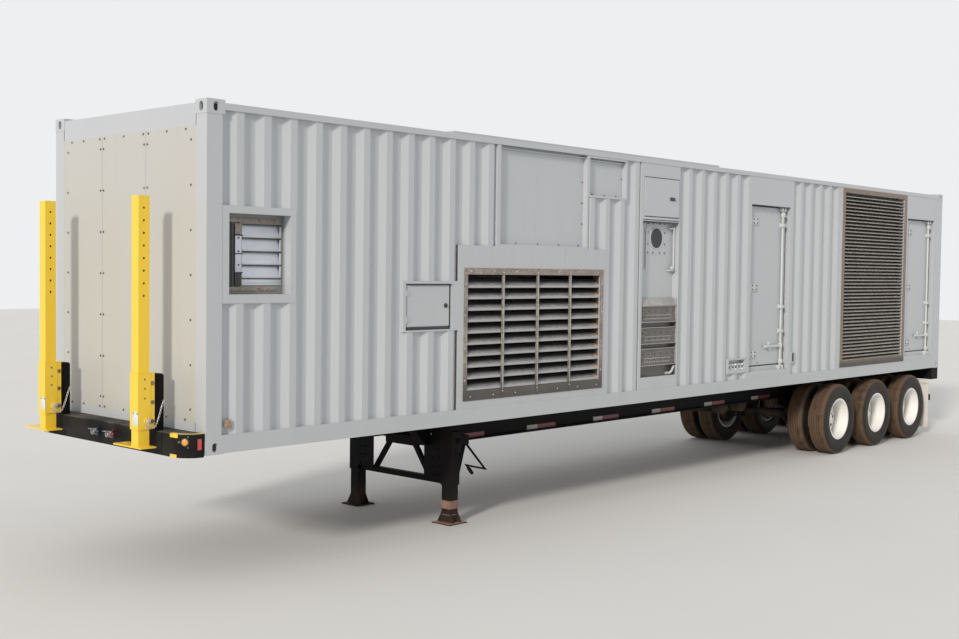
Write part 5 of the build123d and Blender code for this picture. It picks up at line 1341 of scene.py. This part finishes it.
# Drop legs
class GENSET_OT_drop_legs(bpy.types.Operator):
    """Fits the drop legs with bolts, locking pins, rings, chains, plates and foot welds"""
    bl_idname = "genset.drop_legs"
    bl_label = "Fit the drop legs"

    centre, axis_x = 0.456, -0.320
    half_sleeve, half_tube = 0.0593, 0.051

    def execute(self, context):
        bolts, screws = [], []
        face = self.centre - self.half_sleeve
        for side, shift in (("near", 0.0), ("far", WIDTH - 2 * self.centre)):
            bolts += [(at(-0.2435, shift + 0.400, z), OUTWARD) for z in (0.268, 0.425, 0.581)]
            screws += [(at(-0.316, shift + face, z), OUTWARD) for z in (0.460, 0.539, 0.615)]
            self.add_pin(side, shift + face)
            self.add_chain(side, shift)
            self.add_plate(side, shift)
            self.add_foot(side, shift)
        fasteners("sleeve_bolts", bolts, "rusty_bolt", ROOT, 0.0125)
        fasteners("sleeve_set_screws", screws, "bolt", ROOT, 0.006, 0.003)
        return {"FINISHED"}

    def add_pin(self, side, face):
        pin, collar = Shape(), Shape()
        spot = at(-0.293, face, 0.273)
        pin.lathe([(0, -0.004), (0.014, -0.004), (0.0145, 0.0), (0.0145, 0.010), (0.021, 0.012),
                   (0.023, 0.018), (0.021, 0.025), (0.012, 0.028), (0, 0.028)], spot, OUTWARD, 24)
        ring = [at(-0.301 + 0.024 * math.cos(a), face - 0.020 + 0.006 * math.sin(a),
                   0.226 + 0.011 * math.sin(a))
                for a in (math.radians(22.5 * n) for n in range(17))]
        pin.pipe(ring, 0.0035, 8)
        pin.pipe([spot + Vector((0, -0.022, 0)), at(-0.296, face - 0.024, 0.250),
                  at(-0.300, face - 0.022, 0.236)], 0.0038, 8)
        pin.piece(f"{side}_locking_pin", "steel")
        collar.lathe([(0.0155, -0.002), (0.029, -0.002), (0.029, 0.004), (0.026, 0.006),
                      (0.0155, 0.006)], spot, OUTWARD, 24)
        for z in (0.2065, 0.6665):
            for dx in (-1, 1):
                edge = at(self.axis_x + dx * self.half_sleeve, face, z)
                collar.pipe([edge, edge + Vector((0, 2 * self.half_sleeve, 0))], 0.0022, 8)
            collar.pipe([at(self.axis_x - self.half_sleeve, face, z),
                         at(self.axis_x + self.half_sleeve, face, z)], 0.0022, 8)
        seam = at(self.axis_x + self.half_sleeve, face + 0.0040, 0)
        collar.pipe([seam + Vector((0, 0, z)) for z in (0.212, 0.661)], 0.0028, 8)
        collar.piece(f"{side}_pin_collar", "yellow")

    def add_chain(self, side, shift):
        points = [(-0.280, 0.376, 0.222), (-0.248, 0.386, 0.212), (-0.221, 0.388, 0.226),
                  (-0.198, 0.394, 0.270), (-0.175, 0.398, 0.324), (-0.158, 0.402, 0.380),
                  (-0.136, 0.404, 0.425)]
        curve = bpy.data.curves.new("Chain path", "CURVE")
        curve.dimensions = "3D"
        spline = curve.splines.new("NURBS")
        spline.points.add(len(points) - 1)
        for point, (x, y, z) in zip(spline.points, points):
            point.co = (*at(x, y + shift, z), 1.0)
        spline.order_u = 3
        spline.use_endpoint_u = True
        grow(f"{side}_pin_chain", curve, "Chain",
             {"Pitch": 0.0150, "Link": 0.0110, "Wire": 0.0023}, "steel", ROOT)
        staple = Shape()
        anchor = at(-0.136, shift + 0.409, 0.425)
        staple.pipe([anchor + Vector((0, 0.001, 0.010)), anchor + Vector((0, -0.012, 0.008)),
                     anchor + Vector((0, -0.012, -0.008)), anchor + Vector((0, 0.001, -0.010))],
                    0.0032, 8)
        staple.piece(f"{side}_chain_staple", "steel")

    def add_plate(self, side, shift):
        """A blank plate with two screws on the front of the sleeve."""
        plate, front = Shape(), self.axis_x - self.half_sleeve
        plate.prism(rounded(0.078, 0.110, 0.006), 0.0016, at(front, shift + 0.434, 0.295),
                    (0, -1, 0), (0, 0, 1), 0.0004)
        plate.piece(f"{side}_sleeve_plate", "plate")
        screws = [(at(front - 0.001, shift + y, 0.340), FORWARD) for y in (0.404, 0.464)]
        fasteners(f"{side}_plate_screws", screws, "bolt", ROOT, 0.006, 0.003)

    def add_foot(self, side, shift):
        """Weld beads round the foot of the post, and a cap sunk in its top."""
        foot, cap = Shape(), Shape()
        body = f"{side}_drop_leg"
        centre, half, top = self.centre + shift, self.half_tube, 0.067
        corners = [(self.axis_x + u * half, centre + v * half)
                   for u, v in ((-1, -1), (1, -1), (1, 1), (-1, 1), (-1, -1))]
        for start, end in zip(corners, corners[1:]):
            foot.pipe([at(*start, top + 0.001), at(*end, top + 0.001)], 0.006, 8)
        foot.piece(f"{side}_drop_foot_weld", "yellow", body)
        cap.prism(rounded(0.086, 0.086, 0.008), 0.003, at(self.axis_x, centre, 2.1035),
                  (1, 0, 0), (0, 1, 0), 0.0008)
        cap.piece(f"{side}_drop_leg_cap", "yellow", body)


# Landing gear
class GENSET_OT_landing_gear(bpy.types.Operator):
    """Fits the landing gear with its crank, gearbox, shaft, leg bands and bracket bolts"""
    bl_idname = "genset.landing_gear"
    bl_label = "Fit the landing gear"

    def execute(self, context):
        crank = Shape()
        crank.pipe([at(3.430, 0.430, -0.245), at(3.512, 0.430, -0.262), at(3.829, 0.430, -0.577),
                    at(3.540, 0.430, -0.507), at(3.632, 0.430, -0.604)], 0.0130, 12)
        crank.lathe([(0.012, 0), (0.019, 0.003), (0.020, 0.060), (0.017, 0.085), (0, 0.087)],
                    at(3.572, 0.430, -0.541), (0.090, 0, -0.096), 16)
        crank.piece("landing_crank", "landing_gear")
        box = Shape()
        box.prism([(-0.072, -0.110), (0.060, -0.110), (0.078, -0.060), (0.078, 0.090),
                   (0.050, 0.120), (-0.072, 0.120)], 0.030, at(3.365, 0.434, -0.255),
                  (1, 0, 0), (0, 0, 1), 0.006)
        box.lathe([(0, 0), (0.030, 0), (0.032, 0.004), (0.030, 0.022), (0.019, 0.026),
                   (0.019, 0.034), (0, 0.035)], at(3.392, 0.404, -0.235),
                  OUTWARD, 24)
        box.piece("landing_gearbox", "landing_gear")
        shaft = Shape()
        shaft.rod(at(3.392, 0.573, -0.235), at(3.392, 1.865, -0.235), 0.016)
        for y in (0.60, 1.84):
            shaft.rod(at(3.392, y - 0.02, -0.235), at(3.392, y + 0.02, -0.235), 0.026)
        shaft.piece("landing_cross_shaft", "landing_gear")
        bolts, bands = [], {}
        for side in SIDES:
            for z in (-0.340, -0.430, -0.520, -0.610):
                bolts += [(across(at(3.300, y, z), side), FORWARD) for y in (0.612, 0.690)]
            for z in (-0.270, -0.100):
                bolts += [(across(at(x, 0.573, z), side), FACE_TOWARDS[side])
                          for x in (3.33, 3.41)]
            bands[side] = Shape()
            half = 0.05985
            for z, high in ((-0.905, 0.086), (-1.010, 0.008)):
                bands[side].prism(rounded(2 * half, 2 * half, 0.0002), high,
                                  across(at(3.370, 0.503, z - high / 2), side),
                                  (1, 0, 0), (0, 1, 0))
            bands[side].prism(rounded(0.262, 0.262, 0.012), 0.004,
                              across(at(3.370, 0.503, -1.0905), side), (1, 0, 0), (0, 1, 0),
                              0.001)
            bands[side].piece(f"{side}_landing_rust_band",
                              "rust_band" if side == "near" else "landing_gear",
                              f"{side}_landing_leg", "black_paint")
        fasteners("landing_bracket_bolts", bolts, "chassis", ROOT, 0.011)
        return {"FINISHED"}


# Trailer frame
class GENSET_OT_trailer(bpy.types.Operator):
    """Adds reflective tape, marker lights, air tanks and rear lights to the trailer"""
    bl_idname = "genset.trailer"
    bl_label = "Fit the trailer details"

    def execute(self, context):
        pitch = context.scene.genset_sizes.tape_pitch
        strips = {"tape_white": (0.187, 0.0), "tape_red": (0.330, 0.2585)}
        first = 3.7535
        count = int((LENGTH - first) / pitch) + 1
        for side in SIDES:
            for material, (length, shift) in strips.items():
                places = [(across(at(first + shift + n * pitch, 0.7673, -0.262), side), UP)
                          for n in range(count)]
                places = [p for p in places if p[0].x < at(13.9, 0, 0).x]
                grow(f"{side}_{material}", points_mesh(places), "Tape strips",
                     {"Length": length, "Height": 0.050}, material, ROOT)
        self.add_markers()
        self.add_tanks()
        self.add_rear_lights()
        return {"FINISHED"}

    def add_markers(self):
        amber, dots = Shape(), Shape()
        for side in SIDES:
            amber.lathe([(0, 0), (0.012, 0), (0.012, 0.004), (0.008, 0.008), (0, 0.009)],
                        across(at(3.302, 0.719, -0.184), side), FACE_TOWARDS[side], 28)
            dots.lathe([(0.012, 0), (0.018, 0), (0.018, 0.003), (0.015, 0.005), (0.012, 0.005),
                        (0.012, 0)], across(at(3.302, 0.719, -0.184), side),
                       FACE_TOWARDS[side], 28)
        amber.piece("side_marker_lenses", "amber")
        dots.piece("side_marker_rims", "black")

    def add_tanks(self):
        tank, strap = Shape(), Shape()
        for x in (9.30, 9.80):
            y = 1.219
            tank.lathe([(0, 0), (0.07, 0.006), (0.118, 0.030), (0.125, 0.060), (0.125, 0.700),
                        (0.118, 0.730), (0.07, 0.754), (0, 0.760)],
                       at(x, y - 0.38, -0.330), (0, 1, 0), 40)
            for shift in (-0.20, 0.20):
                strap.lathe([(0.1252, 0), (0.129, 0.001), (0.129, 0.035), (0.1252, 0.036),
                             (0.1252, 0)], at(x, y + shift - 0.018, -0.330), (0, 1, 0), 40)
                strap.block(at(x - 0.020, y + shift - 0.018, -0.215),
                            at(x + 0.020, y + shift + 0.018, -0.150), 0.004)
        tank.piece("air_tanks", "running_gear")
        strap.piece("air_tank_straps", "chassis")

    def add_rear_lights(self):
        """Two red lights and a white one at each side of the rear bolster."""
        rim = [(0.047, 0.0), (0.047, 0.010), (0.052, 0.012), (0.057, 0.010), (0.058, 0.0),
               (0.047, 0.0)]
        lens_form = [(0, 0), (0.046, 0), (0.046, 0.005), (0.040, 0.009), (0, 0.011)]
        housings, lenses, white = Shape(), Shape(), Shape()
        for side in SIDES:
            for y, glass in ((0.26, lenses), (0.42, lenses), (0.58, white)):
                centre = across(at(LENGTH - 0.006, y, -0.095), side)
                housings.lathe(rim, centre, REARWARD, 36)
                glass.lathe(lens_form, centre, REARWARD, 36)
        housings.piece("rear_light_rims", "black")
        lenses.piece("rear_light_lenses", "red")
        white.piece("reversing_lenses", "tape_white")


# Wheels
class GENSET_OT_wheels(bpy.types.Operator):
    """Replaces the plain tyres and rims by grooved tyres and ten-hole discs with nuts and hubs"""
    bl_idname = "genset.wheels"
    bl_label = "Fit the wheels"

    radius, width, spacing, out = 0.515, 0.275, 0.343, 0.030
    height = -0.585
    tread_from, tread_fade = 0.470, 0.028

    def execute(self, context):
        sizes = context.scene.genset_sizes
        for side in SIDES:
            for number, x in enumerate(AXLES_X, start=1):
                name = f"{side}_wheels_{number}"
                centre = across(at(x, -self.out, self.height), side)
                self.add_tyres(name, side, number, centre)
                self.add_rims(name, side, number, centre, sizes)
        self.add_drums()
        return {"FINISHED"}

    def tyre_profile(self):
        half = [(0.288, 0.030), (0.302, 0.0235), (0.309, 0.0170), (0.318, 0.0125), (0.322, 0.0100),
                (0.326, 0.0098), (0.330, 0.0110), (0.350, 0.0055), (0.378, 0.0015), (0.405, 0.0),
                (0.428, 0.0010), (0.446, 0.0045), (0.450, 0.0038), (0.454, 0.0052),
                (0.468, 0.0105), (0.474, 0.0135), (0.484, 0.0185), (0.495, 0.0255),
                (0.504, 0.0335), (0.5095, 0.0415), (0.5125, 0.0500)]
        tread = []
        for groove in (0.0830, 0.1165):
            tread += [(0.5135, groove - 0.0070), (0.5080, groove - 0.0058),
                      (0.5010, groove - 0.0034), (0.5010, groove + 0.0034),
                      (0.5080, groove + 0.0058), (0.5142, groove + 0.0070)]
        half += tread
        mirrored = [(r, self.width - y) for r, y in reversed(half)]
        return half + mirrored + [half[0]]

    def add_tyres(self, name, side, number, centre):
        direction = -FACE_TOWARDS[side]
        tyres = Shape()
        for shift in (0.0, self.spacing):
            tyres.lathe(self.tyre_profile(), centre + direction * shift, direction, 80)
        mesh = tyres.mesh(f"{name}_tyres")
        tread = mesh.attributes.new("tread", "FLOAT", "POINT")
        for vertex in mesh.vertices:
            reach = math.hypot(vertex.co.x - centre.x, vertex.co.z - centre.z)
            share = (reach - self.tread_from) / self.tread_fade
            tread.data[vertex.index].value = min(1.0, max(0.0, share))
        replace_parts(keep(f"{name}_tyres", mesh, "tyre", name, 40),
                    f"{side}_tyres_{number}")

    def add_rims(self, name, side, number, centre, sizes):
        direction = -FACE_TOWARDS[side]
        rims = Shape()
        for start, disc in ((0.0, 0.232), (self.spacing, 0.026)):
            well = 0.150 if start == 0 else 0.125
            profile = [(0.2790, 0.024), (0.2960, 0.0215), (0.3020, 0.0225), (0.3045, 0.0262),
                       (0.3020, 0.0300), (0.2965, 0.0305), (0.2890, 0.0345), (0.2875, 0.042),
                       (0.2872, 0.080), (0.2700, well - 0.020), (0.2700, well + 0.020),
                       (0.2872, 0.195), (0.2875, 0.233), (0.2890, 0.2405), (0.2965, 0.2445),
                       (0.3020, 0.2450), (0.3045, 0.2488), (0.3020, 0.2525), (0.2960, 0.2535),
                       (0.2790, 0.2510), (0.2760, 0.240), (0.2750, 0.200), (0.2600, well + 0.024),
                       (0.2600, well - 0.024), (0.2750, 0.075), (0.2765, 0.035), (0.2790, 0.024)]
            rims.lathe(profile, centre + direction * start, direction, 64)
            self.add_disc(rims, centre + direction * (start + disc), direction, sizes)
        rims.lathe([(0, 0.160), (0.030, 0.160), (0.040, 0.163), (0.062, 0.166), (0.066, 0.170),
                    (0.068, 0.186), (0.084, 0.190), (0.088, 0.196), (0.089, 0.222),
                    (0.108, 0.229), (0.110, 0.236), (0.110, 0.372), (0.0665, 0.374),
                    (0.0665, 0.300), (0, 0.300)], centre, direction, 48)
        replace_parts(rims.piece(f"{name}_rims", "rim", name, "white_rim", 34),
                    f"{side}_rims_{number}")
        nuts = self.on_circle(centre, direction, 0.232, 0.1429, 10, 0.5)
        fasteners(f"{name}_nuts", nuts, "rusty_bolt", name, sizes.wheel_nut, 0.020, 6, 1.22)
        caps = self.on_circle(centre, direction, 0.188, 0.0765, 6)
        fasteners(f"{name}_cap_bolts", caps, "steel", name, 0.0065, 0.006)

    def on_circle(self, centre, direction, face, circle, count, turn=0.0):
        """Places on a circle round the hub, at a depth behind the tyre's outer side."""
        angles = [2 * math.pi * (n + turn) / count for n in range(count)]
        return [(centre + direction * face + Vector((math.cos(a), 0, math.sin(a))) * circle,
                 -direction) for a in angles]

    def add_disc(self, rims, centre, direction, sizes):
        """The wheel disc: a flat curve with round hand holes, given its thickness."""
        curve = bpy.data.curves.new("Disc outline", "CURVE")
        curve.dimensions = "2D"
        curve.fill_mode = "BOTH"
        circles = [(0, 0, 0.2630, 48), (0, 0, 0.1000, 32)]
        for n in range(sizes.hand_holes):
            angle = 2 * math.pi * n / sizes.hand_holes
            circles.append((0.209 * math.cos(angle), 0.209 * math.sin(angle), 0.0285, 16))
        for u, v, radius, steps in circles:
            spline = curve.splines.new("POLY")
            spline.points.add(steps - 1)
            for n, point in enumerate(spline.points):
                angle = 2 * math.pi * n / steps
                point.co = (u + radius * math.cos(angle), v + radius * math.sin(angle), 0, 1)
            spline.use_cyclic_u = True
        curve.extrude = 0.0045
        curve.bevel_depth = 0.0016
        curve.bevel_resolution = 1
        holder = bpy.data.objects.new("Disc", curve)
        bpy.context.scene.collection.objects.link(holder)
        evaluated = holder.evaluated_get(bpy.context.evaluated_depsgraph_get())
        mesh = bpy.data.meshes.new_from_object(evaluated)
        bpy.data.objects.remove(holder)
        mesh.transform(Matrix.Translation(centre + direction * 0.006)
                       @ Matrix.Rotation(math.pi / 2, 4, "X"))
        rims.bm.from_mesh(mesh)
        bmesh.ops.remove_doubles(rims.bm, verts=rims.bm.verts, dist=1e-5)
        bpy.data.meshes.remove(mesh)

    def add_drums(self):
        """Brake drums, air chambers and U-bolts, between the wheels and the springs."""
        drums, chambers, clamps = Shape(), Shape(), Shape()
        for x in AXLES_X:
            for side in SIDES:
                inward = -FACE_TOWARDS[side]
                start = across(at(x, 0.370, self.height), side)
                drums.lathe([(0.070, 0.0), (0.200, 0.0), (0.212, 0.006), (0.212, 0.030),
                             (0.206, 0.036), (0.206, 0.180), (0.214, 0.186), (0.214, 0.205),
                             (0.206, 0.210), (0.070, 0.212), (0.070, 0.0)], start, inward, 48)
                pot = across(at(x + 0.165, 0.800, self.height + 0.060), side)
                chambers.lathe([(0, 0), (0.060, 0.0), (0.072, 0.012), (0.076, 0.040),
                                (0.082, 0.044), (0.082, 0.054), (0.076, 0.058), (0.072, 0.090),
                                (0.066, 0.150), (0.040, 0.168), (0, 0.170)],
                               pot, inward, 32)
                chambers.rod(pot, pot - inward * 0.060, 0.012)
                chambers.pipe([pot - inward * 0.055, pot + Vector((-0.10, 0, -0.02))
                               - inward * 0.055, pot + Vector((-0.165, 0, -0.055))
                               - inward * 0.055], 0.014, 8)
                for dx in (-0.075, 0.075):
                    for dy in (-0.052, 0.052):
                        clamps.rod(across(at(x + dx, 0.774 + dy, self.height - 0.110), side),
                                   across(at(x + dx, 0.774 + dy, self.height + 0.165), side),
                                   0.010)
                low = across(at(x - 0.100, 0.706, self.height - 0.100), side)
                high = across(at(x + 0.100, 0.842, self.height - 0.082), side)
                clamps.block([min(a, b) for a, b in zip(low, high)],
                             [max(a, b) for a, b in zip(low, high)], 0.004)
        drums.piece("brake_drums", "running_gear")
        chambers.piece("brake_chambers", "running_gear")
        clamps.piece("spring_clamps", "running_gear")


# Stage
class GENSET_OT_stage(bpy.types.Operator):
    """Adds the camera, the soft light, the pale surroundings and the floor"""
    bl_idname = "genset.stage"
    bl_label = "Set the stage"

    def execute(self, context):
        stage = context.scene.genset_stage
        self.add_camera(context.scene, stage)
        self.add_lights(context.scene, stage)
        self.add_floor()
        return {"FINISHED"}

    def add_camera(self, scene, stage):
        azimuth, elevation, roll = (math.radians(a) for a in CAMERA_TURN)
        forward = Vector((math.cos(elevation) * math.cos(azimuth),
                          math.cos(elevation) * math.sin(azimuth), math.sin(elevation)))
        right = forward.cross(UP).normalized()
        down = forward.cross(right)
        turned = math.cos(roll) * right + math.sin(roll) * down
        lower = math.cos(roll) * down - math.sin(roll) * right
        camera = bpy.data.objects.new("Camera", bpy.data.cameras.new("Camera"))
        camera.data.lens = stage.lens
        camera.data.clip_end = 400
        axes = Matrix((turned, -lower, -forward)).transposed()
        camera.matrix_world = Matrix.Translation(CAMERA_PLACE) @ axes.to_4x4()
        scene.collection.objects.link(camera)
        scene.camera = camera

    def add_lights(self, scene, stage):
        sun = bpy.data.objects.new("Key", bpy.data.lights.new("Key", "SUN"))
        sun.data.energy = stage.key
        sun.data.angle = math.radians(KEY_SPREAD)
        sun.data.color = KEY_COLOUR
        sun.rotation_mode = "QUATERNION"
        sun.rotation_quaternion = Vector(KEY_FROM).to_track_quat("Z", "Y")
        scene.collection.objects.link(sun)
        world = bpy.data.worlds.new("Surroundings")
        world.use_nodes = True
        scene.world = world
        tree = world.node_tree
        tree.nodes.clear()
        rays = add_node(tree, "ShaderNodeLightPath").outputs
        seen = math_node(tree, "MAXIMUM", rays["Is Camera Ray"], rays["Is Glossy Ray"])
        seen = math_node(tree, "MAXIMUM", seen, rays["Is Transmission Ray"])
        light = add_node(tree, "ShaderNodeBackground", {
            "Color": SKY_COLOUR, "Strength": stage.sky})
        view = add_node(tree, "ShaderNodeBackground", {
            "Color": BACKDROP_COLOUR, "Strength": BACKDROP_LEVEL})
        both = add_node(tree, "ShaderNodeMixShader", {
            0: seen, 1: light.outputs[0], 2: view.outputs[0]})
        add_node(tree, "ShaderNodeOutputWorld", {0: both.outputs[0]})

    def add_floor(self):
        shape = Shape()
        corners = [shape.bm.verts.new((u * FLOOR_HALF, v * FLOOR_HALF, -FLOOR_DROP))
                   for u, v in ((-1, -1), (1, -1), (1, 1), (-1, 1))]
        shape.bm.faces.new(corners)
        floor = bpy.data.objects.new("Floor", shape.mesh("Floor"))
        bpy.context.scene.collection.objects.link(floor)
        material, tree, shader = new_material("Floor_surface")
        cloud = noise(tree, 0.35, 3.0)
        tree.links.new(mixed(tree, cloud, (0.72, 0.71, 0.69, 1), (0.78, 0.77, 0.75, 1)),
                       shader.inputs["Base Color"])
        shader.inputs["Roughness"].default_value = 0.85
        floor.data.materials.append(material)


STEPS = (
    GENSET_OT_paint,
    GENSET_OT_wall_bolts,
    GENSET_OT_shutter,
    GENSET_OT_panel_screws,
    GENSET_OT_junction,
    GENSET_OT_connections,
    GENSET_OT_service_boxes,
    GENSET_OT_doors,
    GENSET_OT_front_end,
    GENSET_OT_drop_legs,
    GENSET_OT_landing_gear,
    GENSET_OT_trailer,
    GENSET_OT_wheels,
    GENSET_OT_stage,
)


class GENSET_PT_panel(bpy.types.Panel):
    """Lists the steps that dress the generator set"""
    bl_idname = "GENSET_PT_panel"
    bl_label = "Generator set"
    bl_space_type = "VIEW_3D"
    bl_region_type = "UI"
    bl_category = "Generator set"

    def draw(self, context):
        scene = context.scene
        for settings in (scene.genset_paint, scene.genset_sizes, scene.genset_stage):
            box = self.layout.box()
            for name in settings.bl_rna.properties.keys():
                if name not in ("name", "rna_type"):
                    box.prop(settings, name)
        for step in STEPS:
            self.layout.operator(step.bl_idname)


SETTINGS = {"genset_paint": GeneratorPaint, "genset_sizes": GeneratorSizes,
            "genset_stage": GeneratorStage}


def register():
    for kind in (*SETTINGS.values(), *STEPS, GENSET_PT_panel):
        bpy.utils.register_class(kind)
    for name, kind in SETTINGS.items():
        setattr(bpy.types.Scene, name, PointerProperty(type=kind))


def unregister():
    for name in SETTINGS:
        delattr(bpy.types.Scene, name)
    for kind in (GENSET_PT_panel, *reversed(STEPS), *SETTINGS.values()):
        bpy.utils.unregister_class(kind)


def main():
    register()
    for step in STEPS:
        group, name = step.bl_idname.split(".")
        getattr(getattr(bpy.ops, group), name)()
    bpy.context.scene.view_settings.view_transform = "Standard"


if __name__ == "__main__":
    main()
